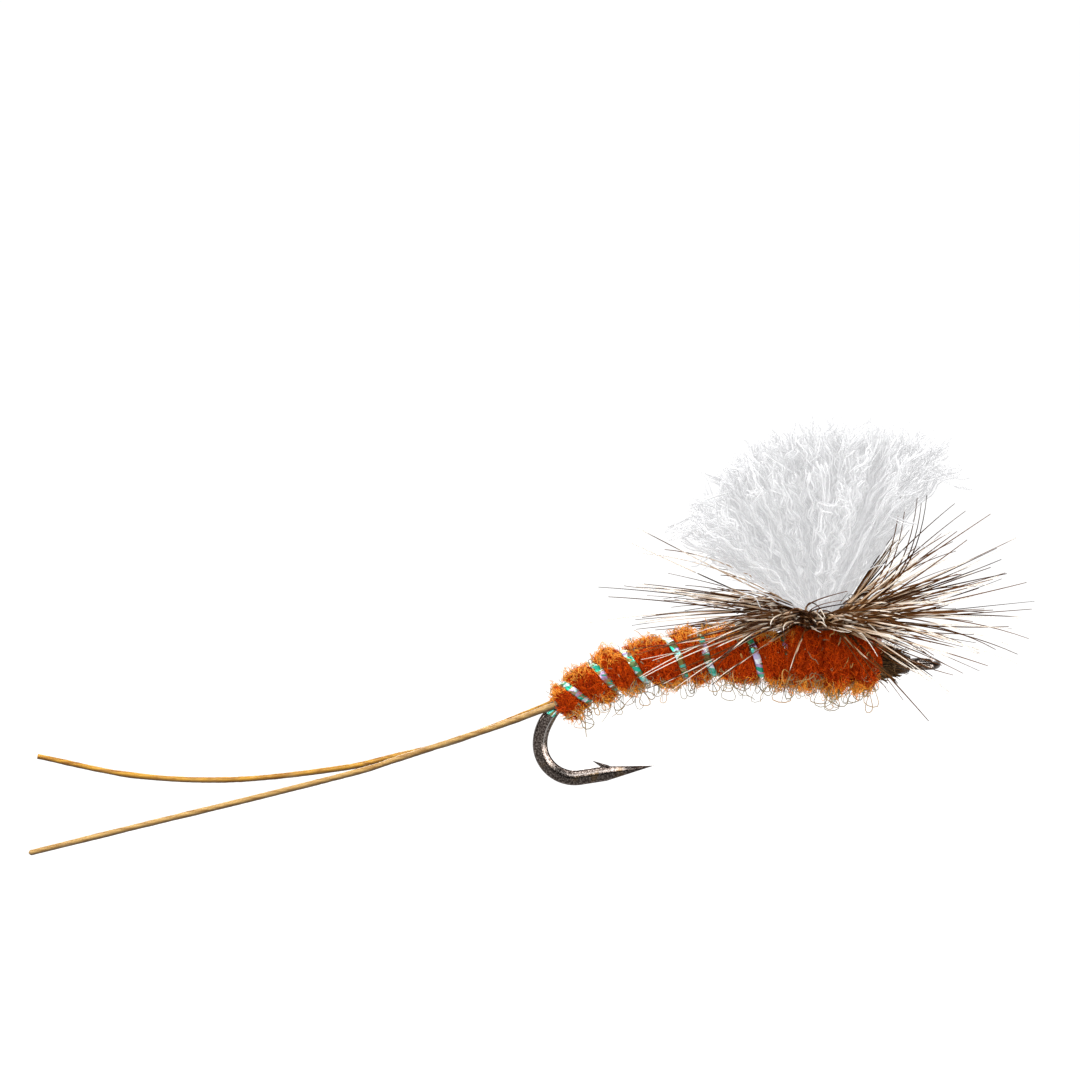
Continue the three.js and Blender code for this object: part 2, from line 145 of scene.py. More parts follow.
def fibres(name, paths, radii, tone=None):
    """Many thin closed tubes as one mesh.

    paths is fibres by points by 3, radii fibres by points. Each point gets a small ring at its radius, square
    to the fibre, rings are joined by quads, and the two ends are closed by one face each. The UV's first
    number is the fibre's own random number and its second the share of the way from root to tip.
    """
    count, steps = paths.shape[:2]
    sides = 3
    _, side, up = carried_sides(paths)
    turn = np.arange(sides) / sides * 2 * np.pi
    ring = np.cos(turn)[:, None] * up[:, :, None] - np.sin(turn)[:, None] * side[:, :, None]
    points = (paths[:, :, None] + radii[:, :, None, None] * ring).reshape(-1, 3)
    base = (np.arange(count) * steps * sides)[:, None, None]
    quads = (base + grid_faces(steps, sides)[None]).reshape(-1, 4)
    k = np.arange(sides)
    ends = np.stack([k[::-1], (steps - 1) * sides + k])[None] + base
    lot = np.random.default_rng(count).random(count)
    share = np.linspace(0, 1, steps)
    uv = np.stack([np.repeat(lot, steps * sides), np.tile(np.repeat(share, sides), count)], -1)
    spread = None if tone is None else np.repeat(tone.reshape(count, -1) * np.ones((1, steps)), sides)
    return mesh_piece(name, points, [quads, ends.reshape(-1, sides)], uv, spread)


def keep(piece, slot, *nodes):
    """The piece rides on the one rigid body and stands for these solids, which it hides; the finish slot is not
    used.
    """
    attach(piece, "root")
    if nodes:
        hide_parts(*nodes)
    print(f"{piece.name}: {len(piece.data.polygons)} faces, for {len(nodes)} solids")
    return piece


# %% [markdown]
# ## Writing materials as sums
# A material is a small network of nodes. Written as Python sums it reads like the recipe that it is, so a
# socket is wrapped in a class whose operators add the Math nodes, and one method adds any other node.
# %% The shader helpers
class Value:
    """A number that varies over the surface: the output socket of a node."""

    def __init__(self, finish, socket):
        self.finish, self.socket = finish, socket

    def _math(self, operation, *numbers):
        return self.finish.node("ShaderNodeMath", {"operation": operation}, dict(enumerate(numbers)))

    def __add__(self, other):
        return self._math("ADD", self, other)

    def __mul__(self, other):
        return self._math("MULTIPLY", self, other)

    def __sub__(self, other):
        return self._math("SUBTRACT", self, other)

    def __rsub__(self, other):
        return self._math("SUBTRACT", other, self)

    __radd__ = __add__
    __rmul__ = __mul__

    def above(self, low, high):
        """0 below low, 1 above high, and a smooth step between."""
        ends = {"From Min": low, "From Max": high}
        smooth = {"interpolation_type": "SMOOTHSTEP"}
        return self.finish.node("ShaderNodeMapRange", smooth, {"Value": self, **ends})

    def wave(self):
        """The sine of the value."""
        return self._math("SINE", self)


class Finish:
    """One material, as a Principled shader whose inputs are fed by the nodes added here."""

    def __init__(self, name):
        self.material = bpy.data.materials.new(name)
        self.material.use_nodes = True
        self.tree = self.material.node_tree
        self.tree.nodes.clear()

    def node(self, kind, settings=None, sockets=None, output=0):
        """Adds a node: its settings first, then its sockets' values or links, and gives one output."""
        made = self.tree.nodes.new(kind)
        for key, value in (settings or {}).items():
            if key == "stops":
                for stop, (place, colour) in zip(made.color_ramp.elements, value[:2]):
                    stop.position, stop.color = place, (*colour, 1)
                for place, colour in value[2:]:
                    made.color_ramp.elements.new(place).color = (*colour, 1)
            else:
                setattr(made, key, value)
        for key, value in (sockets or {}).items():
            socket = made.inputs[key]
            if isinstance(value, Value):
                self.tree.links.new(value.socket, socket)
            elif socket.type == "RGBA":
                socket.default_value = (*value, 1)
            else:
                socket.default_value = value
        return Value(self, made.outputs[output]) if made.outputs else None

    def place(self, x=1.0, y=1.0, z=1.0):
        """The point on the surface in millimetres, stretched by x, y and z."""
        at = self.node("ShaderNodeTexCoord", output="Object")
        scale = {"Scale": (x / MM, y / MM, z / MM)}
        return self.node("ShaderNodeMapping", None, {"Vector": at, **scale})

    def noise(self, at, scale, detail):
        """Cloudy noise from 0 to 1, scale waves per unit, with so many finer octaves."""
        return self.node("ShaderNodeTexNoise", None, {"Vector": at, "Scale": scale, "Detail": detail}, "Fac")

    def lie(self):
        """(own random number, share from root to tip) of the fibre at this point."""
        uv = self.node("ShaderNodeUVMap", {"uv_map": "lie"})
        split = self.node("ShaderNodeSeparateXYZ", None, {"Vector": uv})
        return split, Value(self, split.socket.node.outputs["Y"])

    def tone(self):
        """The number that the mesh carries at each point."""
        return self.node("ShaderNodeAttribute", {"attribute_name": "tone"}, None, "Fac")

    def ramp(self, value, *stops):
        """A colour read between (place, colour) stops."""
        return self.node("ShaderNodeValToRGB", {"stops": stops}, {"Fac": value}, "Color")

    def mix(self, share, first, second):
        """second over first by share, as colours."""
        return self.node("ShaderNodeMix", {"data_type": "RGBA"}, {0: share, 6: first, 7: second}, 2)

    def bump(self, height, depth, strength=1.0):
        """A normal tilted as if the surface rose by height times depth, in mm."""
        relief = {"Height": height, "Distance": depth * MM, "Strength": strength}
        return self.node("ShaderNodeBump", None, relief)

    def surface(self, glow=None, glow_share=0.3, **sockets):
        """Ends the material: a Principled shader, and over it a share of light let through, coloured glow."""
        named = {key.replace("_", " ").title().replace("Ior", "IOR"): value for key, value in sockets.items()}
        shader = self.node("ShaderNodeBsdfPrincipled", None, named)
        if glow is not None:
            through = self.node("ShaderNodeBsdfTranslucent", None, {"Color": glow})
            shader = self.node("ShaderNodeMixShader", None, {0: glow_share, 1: shader, 2: through})
        self.node("ShaderNodeOutputMaterial", None, {"Surface": shader})
        return self.material


def paint(piece, material):
    """The piece wears one material."""
    piece.data.materials.clear()
    piece.data.materials.append(material)
    return piece


# %% Floor, wall and light
def white_sheet():
    """A sheet lit through from below: it glows evenly, so that thin fibres are not drowned by a bright spot."""
    paper = Finish("white_paper")
    grain = paper.noise(paper.place(), 0.05, 3)
    white = paper.mix(grain, (0.985, 0.985, 0.985), (1.0, 1.0, 1.0))
    return paper.surface(
        base_color=(0.03, 0.03, 0.03), roughness=0.9, emission_color=white, emission_strength=1.0
    )


FLOOR_Z, CURVE_RADIUS = -24.0, 180.0  # mm
bend_turn = np.linspace(0, np.pi / 2, 24)
profile = np.concatenate([
    [[-700.0, FLOOR_Z]],
    np.stack([320 + CURVE_RADIUS * np.sin(bend_turn), FLOOR_Z + CURVE_RADIUS * (1 - np.cos(bend_turn))], -1),
    [[500.0, 900.0]],
])
across = np.linspace(-900, 900, 5)
sheet = np.empty((len(profile), len(across), 3))
sheet[..., 0] = across
sheet[..., 1:] = profile[:, None]
sheet_faces = grid_faces(len(profile), len(across), around=False)[:, ::-1]
backdrop = mesh_piece("backdrop", sheet.reshape(-1, 3), sheet_faces)
paint(backdrop, white_sheet())


def panel(name, place, wide, high, watts):
    """A soft white light, so many mm wide and high, that faces the fly."""
    light = bpy.data.lights.new(name, "AREA")
    light.shape = "RECTANGLE"
    light.energy, light.size, light.size_y = watts, wide * MM, high * MM
    lamp = bpy.data.objects.new(name, light)
    bpy.context.scene.collection.objects.link(lamp)
    lamp.location = Vector(place) * MM
    lamp.rotation_euler = (Vector((0, 0, 6)) * MM - lamp.location).to_track_quat("-Z", "Y").to_euler()


panel("left", (-140, -120, 110), 110, 110, 0.5)
panel("top", (20, -110, 170), 220, 36, 0.32)
panel("right", (165, -110, 35), 36, 220, 0.4)
panel("behind", (-30, 170, 130), 150, 150, 0.6)
world = bpy.data.worlds.new("tent")
world.use_nodes = True
world.node_tree.nodes["Background"].inputs["Color"].default_value = (1, 1, 1, 1)
world.node_tree.nodes["Background"].inputs["Strength"].default_value = 0.2
bpy.context.scene.world = world
bpy.context.scene.view_settings.view_transform = "Standard"

# %% [markdown]
# ## The line of the wire
# Everything on the fly follows the hook's wire: a long curved shank, a round bend and a straight spear, all
# in one plane. It is two Bezier curves, an arc and a line, sampled finely and then read by distance.
# %% The wire's path
EYE = np.array([15.4, 5.11])  # middle of the ring, as (x, z)
RING_RADIUS, RING_WIRE = 0.6, 0.18
BEND_RADIUS = 1.52
SPEAR_RISE = math.radians(9)
POINT_X = 3.54


def bezier(a, b, c, d, count=400):
    """Cubic Bezier points: the four corners weighted by (1-t)^3, 3t(1-t)^2, 3t^2(1-t) and t^3."""
    t = np.linspace(0, 1, count)[:, None]
    a, b, c, d = (np.array(p, float) for p in (a, b, c, d))
    return (1 - t) ** 3 * a + 3 * t * (1 - t) ** 2 * b + 3 * t**2 * (1 - t) * c + t**3 * d


def distances_along(points):
    """Each point's distance from the first, summed over the straight steps between them."""
    return np.concatenate([[0], np.cumsum(np.linalg.norm(np.diff(points, axis=0), axis=1))])


arc = np.linspace(np.pi, 1.5 * np.pi + SPEAR_RISE, 300)
arc_points = BEND_RADIUS * np.stack([np.cos(arc), 1 + np.sin(arc)], -1)
spear_end = arc_points[-1] + (POINT_X - arc_points[-1, 0]) * np.array([1, math.tan(SPEAR_RISE)])
wire_points = np.concatenate([
    bezier((EYE[0] - RING_RADIUS, EYE[1]), (12.2, 5.28), (9.4, 5.5), (6.4, 5.5)),
    bezier((6.4, 5.5), (2.0, 5.5), (-BEND_RADIUS, 3.62), (-BEND_RADIUS, BEND_RADIUS))[1:],
    arc_points[1:],
    np.linspace(arc_points[-1], spear_end, 60)[1:],
])
wire_marks = distances_along(wire_points)
WIRE_LENGTH = wire_marks[-1]


def on_wire(distance):
    """The point of the wire at a distance from the ring's neck, read between the samples."""
    x, z = (np.interp(distance, wire_marks, wire_points[:, k]) for k in (0, 1))
    return np.stack([x, np.zeros_like(x), z], -1)


shank_part = wire_marks < 17
TIE_IN = np.interp(0.9, -wire_points[shank_part, 0], wire_marks[shank_part])


def on_shank(along, angle, radius):
    """A point radius away from the shank, at a length forward of the tie-in.

    The angle turns from the top of the shank (0) over the near side (a quarter turn) to the bottom.
    """
    middle = on_wire(TIE_IN - along)
    forward = unit(on_wire(TIE_IN - along - 0.02) - on_wire(TIE_IN - along + 0.02))
    up = np.cross(forward, [0, 1, 0])
    out = np.cos(angle)[..., None] * up - np.sin(angle)[..., None] * np.array([0, 1.0, 0])
    return middle + np.asarray(radius)[..., None] * out


def step(x, low, high):
    """0 below low, 1 above high, and 3t^2 - 2t^3 between."""
    t = np.clip((x - low) / (high - low), 0, 1)
    return t * t * (3 - 2 * t)


def ripple(at, size, seed, waves=24):
    """Smooth noise of about -1 to 1: plane waves of that size in random directions, added up."""
    dice = np.random.default_rng(seed)
    directions = unit(dice.normal(size=(waves, at.shape[-1])))
    lengths = size * dice.uniform(0.7, 1.6, waves)
    beats = (at[..., None, :] * (directions / lengths[:, None])).sum(-1)
    phase = beats * 2 * np.pi + dice.uniform(0, 6.28, waves)
    return np.sin(phase).sum(-1) * math.sqrt(2 / waves) * 0.6


print(f"wire {WIRE_LENGTH:.2f} mm, tie-in {TIE_IN:.2f} mm from the eye")


# %% [markdown]
# ## The hook
# Hook wire is drawn steel, bent, hardened, and plated a smoky black. Round the bend it is forged: hammered
# flat on both sides, which is why it looks wider there and catches a hard line of light. The point is ground,
# and the barb is a sliver cut up from the spear. One sweep makes it, its section changing along the wire.
# %% Hook
BAR_HALF_WIDTH, BAR_HALF_THICKNESS = 0.335, 0.21
WIRE_COLUMNS = 56


def forging(distance):
    """How far the wire is hammered flat: 0 on the shank, rising to 1 within a millimetre past the tie-in."""
    return step(distance, TIE_IN - 0.2, TIE_IN + 0.7)


def forged_section(distance):
    """Ring offsets: a circle that turns, where the wire is forged, into a flat bar chamfered on its inner side.

    Across the bar u runs from -1 outside to 1 inside. The circle's thickness is the square root of 1 - u^2,
    and the bar's is read between a few points: flat to 0.1, sloping to 0.6, then steep to the inner edge.
    """
    forged = forging(distance)
    neck = 0.2 + 0.06 * step(distance, 0, 1.6)
    point = np.clip((WIRE_LENGTH - distance) / 2.2, 0.02, 1)
    wide = (neck + (BAR_HALF_WIDTH - neck) * forged) * point
    thick = (neck + (BAR_HALF_THICKNESS - neck) * forged) * np.sqrt(point)
    turn = np.arange(WIRE_COLUMNS) / WIRE_COLUMNS * 2 * np.pi
    u = np.cos(turn)[None, :]
    across = [-1, -0.97, -0.9, -0.78, 0.05, 0.15, 0.6, 0.85, 0.96, 1]
    bar = np.interp(u, across, [0, 0.5, 0.82, 1, 1, 0.96, 0.6, 0.4, 0.2, 0])
    deep = np.sqrt(1 - u**2) * (1 - forged[:, None]) + bar * forged[:, None]
    deep = deep * np.sign(np.sin(turn)).round()[None, :]
    return np.stack([wide[:, None] * u - 0.02 * (forged * point)[:, None], -thick[:, None] * deep], -1)


distances = np.linspace(0, WIRE_LENGTH, 460)
wire_skin = closed_skin(swept(on_wire(distances), forged_section(distances)))
u = np.cos(np.arange(WIRE_COLUMNS) / WIRE_COLUMNS * 2 * np.pi)
# painted highlight: a pale band across the chamfer of the forged bend, fading on the spear, carried to the
# material as the attribute tone
painted_highlight_band = step(u, 0.34, 0.42) * (1 - step(u, 0.46, 0.56))
painted_highlight_band = painted_highlight_band * forging(distances)[:, None]
painted_highlight_band = painted_highlight_band * (1 - 0.75 * step(distances, WIRE_LENGTH - 7.4, WIRE_LENGTH - 5.4))[:, None]

ring_turn = np.linspace(0, 2 * np.pi, 97)[:-1]
tube_turn = np.arange(20) / 20 * 2 * np.pi
ring_out = RING_RADIUS + RING_WIRE * np.cos(tube_turn)[None, :]
ring_grid = np.stack([
    EYE[0] + ring_out * np.cos(ring_turn)[:, None],
    ring_out * np.sin(ring_turn)[:, None],
    np.broadcast_to(EYE[1] + RING_WIRE * np.sin(tube_turn), (96, 20)),
], -1)
ring_quads = grid_faces(97, 20) % (96 * 20)


def on_spear(x, lift):
    """A point above the middle of the spear."""
    x = np.asarray(x, float)
    return np.stack([x, 0 * x, arc_points[-1, 1] + (x - arc_points[-1, 0]) * math.tan(SPEAR_RISE) + lift], -1)


barb_share = np.linspace(0, 1, 24)
barb_line = on_spear(1.66 - 0.84 * barb_share, 0.13 + 0.5 * barb_share**1.15)
barb_size = np.interp(barb_share, [0, 0.3, 1], [0.1, 0.125, 0.014])
barb_skin = closed_skin(swept(barb_line, ring_section(barb_size, 14, 0.75)))


def joined(*skins):
    """Several (points, faces) put end to end as one."""
    points, faces, count = [], [], 0
    for some, groups in skins:
        groups = groups if isinstance(groups, list) else [groups]
        faces += [g + count for g in groups]
        points.append(some)
        count += len(some)
    return np.concatenate(points), faces


hook_points, hook_faces = joined(wire_skin, (ring_grid.reshape(-1, 3), ring_quads), barb_skin)
# the painted highlight band, one number per point, none on the eye ring and the barb
painted_highlight_share = np.zeros(len(hook_points))
painted_highlight_share[:painted_highlight_band.size] = painted_highlight_band.ravel()
hook = mesh_piece("hook_wire", hook_points, hook_faces, tone=painted_highlight_share)


def black_nickel():
    """Smoky black plating: fine speckles, brown in places, and a painted highlight, a pale band along the inner
    chamfer where the bend's bright line of light falls.
    """
    f = Finish("black_nickel")
    cloud = f.noise(f.place(), 1.6, 5)
    pits = f.noise(f.place(), 14, 3)
    worn = cloud.above(0.55, 0.75)
    # painted highlight: the pale band, broken up by the cloud
    bright = f.tone() * (1 - 0.5 * cloud)
    colour = f.mix(pits.above(0.4, 0.75), (0.034, 0.025, 0.021), (0.22, 0.185, 0.165))
    colour = f.mix(worn * 0.6, colour, (0.14, 0.085, 0.035))
    colour = f.mix(bright, colour, (0.5, 0.48, 0.46))
    rough = 0.1 + 0.12 * cloud + 0.1 * pits
    return f.surface(base_color=colour, metallic=1.0, roughness=rough, normal=f.bump(pits, 0.004, 0.5))


keep(paint(hook, black_nickel()), "hook_steel", "hook")

# %% [markdown]
# ## The tails
# Each tail is a single stiff bristle, amber where the light comes through, with shade painted darker on its lower
# edge, tied in on the side of the shank. Its line is a smooth curve through a few points, and its thickness
# wanders a little.
# %% Tails
def smooth_curve(points, count):
    """Catmull-Rom points: each stretch is the cubic that leaves its ends in line with their neighbours."""
    p = np.asarray(points, float)
    p = np.concatenate([[2 * p[0] - p[1]], p, [2 * p[-1] - p[-2]]])
    at = np.linspace(0, len(points) - 1, count)
    k = np.clip(at.astype(int), 0, len(points) - 2)
    t = (at - k)[:, None]
    a, b, c, d = (p[k + n] for n in range(4))
    return 0.5 * (2 * b + (c - a) * t + (2 * a - 5 * b + 4 * c - d) * t**2 + (3 * b - a - 3 * c + d) * t**3)


def even_curve(points, count):
    """The same curve with its points evenly spaced."""
    fine = smooth_curve(points, 60 * len(points))
    marks = distances_along(fine)
    at = np.linspace(0, marks[-1], count)
    return np.stack([np.interp(at, marks, fine[:, k]) for k in range(3)], -1)


def tail_points(side, splay, profile):
    """Two points beside the shank, then the free ones, drifting out from the tie-in to the splay."""
    tied = on_wire(TIE_IN - np.array([0.85, 0.55]))
    tied[:, 1] = side * 0.415
    away = [np.interp(x, [profile[-1][0], -8.0, -3.3, -1.1], [splay, 0.3, 0.15, 0.34]) for x, _ in profile]
    free = [(x, side * apart, z) for (x, z), apart in zip(profile, away)]
    return np.concatenate([tied, free])


FAR_PROFILE = [  # (x, z)
    (-1.1, 3.25), (-3.3, 2.38), (-5.66, 1.5), (-8.0, 0.9),
    (-10.37, 0.31), (-15.24, -0.33), (-19.8, -0.25), (-24.2, 0.52),
]
NEAR_PROFILE = [
    (-1.1, 3.23), (-3.3, 2.38), (-5.68, 1.6), (-8.0, 0.84),
    (-9.59, 0.37), (-14.3, -0.72), (-19.0, -1.76), (-23.9, -2.86),
]


QUILL_RADIUS = 0.145


def quill(name, points, rounded):
    """A bristle of QUILL_RADIUS that thins by an eighth, its end cut square or rounded off."""
    line = even_curve(points, 420)
    share = np.linspace(0, 1, 420)
    radius = QUILL_RADIUS * (1 - 0.12 * share) * (1 + 0.05 * ripple(line, 1.3, 5) + 0.03 * ripple(line, 0.3, 6))
    if rounded:
        radius = radius * np.sqrt(np.clip((1 - share) / 0.004, 0.02, 1))
    points, faces = closed_skin(swept(line, ring_section(radius, 18, 0.95)))
    return mesh_piece(name, points, faces)


def bristle(name, pale, deep):
    """Horn-like bristle: long faint streaks, shade painted darker on the side that faces down, and light let
    through.
    """
    f = Finish(name)
    streak = f.noise(f.place(0.5, 9, 9), 1.0, 4)
    cloud = f.noise(f.place(), 0.5, 3)
    facing = f.node("ShaderNodeNewGeometry", output="Normal")
    lower = f.node("ShaderNodeSeparateXYZ", None, {"Vector": facing}, "Z")
    # painted shade: faces that point down are darkened towards a fifth of the deep colour
    under = 1 - lower.above(-0.55, 0.6)
    colour = f.mix(streak.above(0.35, 0.7), pale, deep)
    colour = f.mix(under * 0.9, colour, [0.2 * c for c in deep])
    colour = f.mix(cloud.above(0.55, 0.8) * 0.3, colour, (0.5, 0.38, 0.2))
    rough = 0.3 + 0.2 * streak
    return f.surface(
        glow=colour, glow_share=0.25, base_color=colour, roughness=rough, specular_ior_level=0.3,
        normal=f.bump(streak, 0.01, 0.5),
    )


far_quill = quill("tail_golden", tail_points(1, 2.2, FAR_PROFILE), rounded=False)
near_quill = quill("tail_tan", tail_points(-1, 2.5, NEAR_PROFILE), rounded=True)
golden_bristle = bristle("golden_bristle", (0.6, 0.31, 0.03), (0.3, 0.12, 0.008))
tan_bristle = bristle("tan_bristle", (0.56, 0.35, 0.12), (0.3, 0.15, 0.035))
keep(paint(far_quill, golden_bristle), "quill_gold", "tail_quill_far")
keep(paint(near_quill, tan_bristle), "quill_tan", "tail_quill_near")

# %% [markdown]
# ## The body's shape
# Fur is spun on waxed thread into a rope, the rope is wound forward, and the tinsel is wound over it in open
# turns that sink in. So between two turns of tinsel the body bulges, and its outline steps along like a
# caterpillar's. One function gives the radius anywhere, and the core, the fur and the tinsel all read it.
# %% The dubbed body's radius
RIB_MARKS = np.array([-0.08, 1.32, 2.77, 4.15, 6.17, 7.3, 9.53, 10.95, 12.65])
BODY_START, BODY_END = 0.22, 11.05


def rib_place(turns):
    """Length along the shank where this many turns of tinsel are laid."""
    return np.interp(turns, np.arange(len(RIB_MARKS)), RIB_MARKS)


def body_radius(along):
    """The body's radius over its bulges: thicker forward, rounded at the rear."""
    swell = 0.84 + 0.36 * step(along, 0.6, 6.5)
    rear = np.clip((along - BODY_START) / 0.45, 0, 1)
    return swell * (0.72 + 0.28 * np.sqrt(rear * (2 - rear)))


def dubbed_radius(along, angle):
    """body_radius, sunk to 0.74 of itself where the tinsel passes, with slow lumps where the fur is thicker.

    The rear end is slanted: on top the fur starts 0.38 mm further forward, where the tails leave it.
    """
    turns = np.interp(along, RIB_MARKS, np.arange(len(RIB_MARKS)))
    phase = turns - (angle / (2 * np.pi) - 0.25)
    from_rib = np.abs(phase - np.round(phase)) * 2
    arch = (1 - (1 - np.clip((from_rib - 0.2) / 0.8, 0, 1)) ** 2.2) ** 0.6
    bulge = np.maximum(arch, 1 - step(along, 0.6, 1))
    radius = body_radius(along) * (0.74 + 0.26 * bulge)
    at = np.stack(np.broadcast_arrays(along, 1.1 * np.cos(angle), 1.1 * np.sin(angle)), -1)
    hanging = np.exp(-(((along - 0.5) / 0.28) ** 2)) * np.clip(-np.cos(angle), 0, 1) ** 3
    radius = radius + 0.07 * ripple(at, 1.7, 11) * bulge + 0.14 * hanging
    behind = np.clip((along - BODY_START - 0.38 * np.clip(np.cos(angle), 0, 1) + 0.15) / 0.3, 0.1, 1)
    return radius * np.sqrt(behind)


def core(name, span, radius_at, rows, columns, lay=0.035, seed=3):
    """The fur's inner mass: the radius, plus fine strands that run round it like the rope's own twist."""
    turn = np.arange(columns) / columns * 2 * np.pi
    along, angle = np.meshgrid(np.linspace(*span, rows), turn, indexing="ij")
    twist = np.stack([along * 9, np.cos(angle) * 1.4 + along, np.sin(angle) * 1.4], -1)
    radius = radius_at(along, angle) * 0.94 + lay * ripple(twist, 1.0, seed)
    radius = radius + 0.02 * ripple(twist, 0.4, seed + 1)
    end = np.minimum(along - span[0], span[1] - along)
    radius = radius * np.sqrt(np.clip(end / 0.3, 0.05, 1) * (2 - np.clip(end / 0.3, 0.05, 1)))
    points, faces = closed_skin(on_shank(along, angle, np.maximum(radius, 0.1)))
    return mesh_piece(name, points, faces)


def rust_fur(name):
    """Dense rust fur seen as a mass: strands round the body, orange on them, and deep between them, where shade is
    painted in the gaps.
    """
    f = Finish(name)
    strands = f.noise(f.place(7, 1.6, 2.2), 1.0, 5)
    clumps = f.noise(f.place(), 0.9, 3)
    deep, red, bright = (0.11, 0.005, 0.0004), (0.36, 0.028, 0.001), (0.62, 0.09, 0.002)
    # painted shade: the deep stop colours the gaps between the strands
    colour = f.ramp(strands, (0.3, deep), (0.5, red), (0.72, bright))
    colour = f.mix(clumps.above(0.5, 0.8) * 0.4, colour, (0.65, 0.12, 0.003))
    return f.surface(
        base_color=colour, roughness=0.8 + 0.2 * strands, specular_ior_level=0.05,
        normal=f.bump(strands, 0.05, 0.8),
    )


abdomen = core("abdomen_core", (BODY_START, BODY_END), dubbed_radius, 900, 80)
print("abdomen spans", abdomen.data.vertices[0].co, "to", abdomen.data.vertices[-1].co)

# %% [markdown]
# ## Loose fur
# What makes fur look like fur is its edge. Three kinds of fibre stand on the core: short ones that hug it and
# run round with the twist, loops that leave it and come back, and strays that wave out into the air. They are
# all drawn as one family of curves: an angle that runs on, a length that drifts, and a lift off the skin.
# %% Fur fibres
def curls(dice, count, steps, size, wave):
    """Smooth random waves along each fibre, in three directions: size mm high, of wave and twice wave beats."""
    share = np.linspace(0, 1, steps)[None, :, None]
    total = 0
    for k in (1, 2):
        phase = dice.uniform(0, 6.28, (count, 1, 3))
        height = dice.normal(0, 1, (count, 1, 3)) / k
        total = total + height * np.sin(share * 6.28 * k * wave + phase)
    return size * total


def over_skin(along, angle, radius_at, dice, lift, curl):
    """Paths just over the skin: they rise by a random share of lift midway, and curl by curl mm."""
    count, steps = along.shape
    share = np.linspace(0, 1, steps)[None, :]
    rise = lift * dice.exponential(1, (count, 1)).clip(0.1, 3)
    radius = radius_at(along, angle) + rise * np.sin(np.pi * share) ** 0.8 - 0.03
    waves = curls(dice, count, steps, curl, 1.5) * (0.35 + 0.65 * np.sin(np.pi * share)[..., None])
    return on_shank(along, angle, radius) + waves


def hugging(dice, count, steps, span, radius_at, reach, lift, curl, drift=0.3):
    """Paths that start anywhere on the skin and run round it by up to reach radians, drifting along it."""
    share = np.linspace(0, 1, steps)[None, :]
    along = dice.uniform(*span, (count, 1)) + dice.normal(0, drift, (count, 1)) * share
    angle = dice.uniform(0, 2 * np.pi, (count, 1)) + dice.uniform(-1, 1, (count, 1)) * reach * share
    along = np.clip(along, span[0] + 0.02, span[1] - 0.02)
    return over_skin(along, angle, radius_at, dice, lift, curl)


def between_ribs(dice, count, steps, reach, lift, curl, low=0.17):
    """The same for the abdomen, but kept between two turns of tinsel, so that it shows."""
    share = np.linspace(0, 1, steps)[None, :]
    turns = dice.uniform(-0.8, 7.0, (count, 1)) + dice.uniform(-1, 1, (count, 1)) * reach / 6.28 * share
    across = dice.uniform(low, 1 - low, (count, 1)) + dice.normal(0, 0.22, (count, 1)) * share
    across = np.clip(across, low, 1 - low)
    along = np.clip(rib_place(turns + across), BODY_START + 0.03, BODY_END - 0.03)
    return over_skin(along, (turns + 0.25) * 2 * np.pi, dubbed_radius, dice, lift, curl)


def strays(dice, count, steps, span, radius_at, length, angles=(0, 2 * np.pi), bow=0.6):
    """Paths that leave the skin slantwise and bow: a straight run, a bend that grows as its square, waves."""
    share = np.linspace(0, 1, steps)[None, :, None]
    along, angle = dice.uniform(*span, count), dice.uniform(*angles, count)
    root = on_shank(along, angle, radius_at(along, angle) - 0.05)
    out = unit(root - on_wire(TIE_IN - along))
    heading = unit(out + dice.normal(0, 0.8, (count, 3)))
    run = length * dice.exponential(1, (count, 1, 1)).clip(0.4, 3.0)
    bend = unit(np.cross(heading, dice.normal(size=(count, 3))))[:, None] * dice.normal(0, bow, (count, 1, 1))
    path = root[:, None] + heading[:, None] * run * (share - 0.35 * share**2) + bend * run * share**2
    return path + curls(dice, count, steps, 0.08, 0.9) * run**0.5 * share


def loops(dice, count, steps, span, radius_at, length, angles=(0, 2 * np.pi)):
    """Paths that leave the skin and come back in the shape of a drop.

    They go out by the sine of half the turn, and aside by that sine times the sine of the turn.
    """
    turn = np.linspace(0, 2 * np.pi, steps)[None, :, None]
    along, angle = dice.uniform(*span, count), dice.uniform(*angles, count)
    root = on_shank(along, angle, radius_at(along, angle) - 0.05)
    out = unit(root - on_wire(TIE_IN - along) + dice.normal(0, 0.25, (count, 3)))
    aside = unit(np.cross(out, dice.normal(0, 0.4, (count, 3)) + [0, 1, 0]))
    run = length * dice.uniform(0.35, 1.3, (count, 1, 1))
    wide = run * dice.uniform(0.15, 0.5, (count, 1, 1)) * dice.choice([-1, 1], (count, 1, 1))
    sideways = aside[:, None] * wide * np.sin(turn) * np.sin(turn / 2)
    path = root[:, None] + out[:, None] * run * np.sin(turn / 2) + sideways
    return path + curls(dice, count, steps, 0.03, 1.0)


def thin(count, steps, radius, dice, tip=0.5):
    """Fibre radii: a random thickness each, slimmer towards both ends."""
    share = np.linspace(0, 1, steps)[None, :]
    swell = tip + (1 - tip) * np.sin(np.pi * (0.08 + 0.84 * share))
    return radius * dice.uniform(0.7, 1.3, (count, 1)) * swell


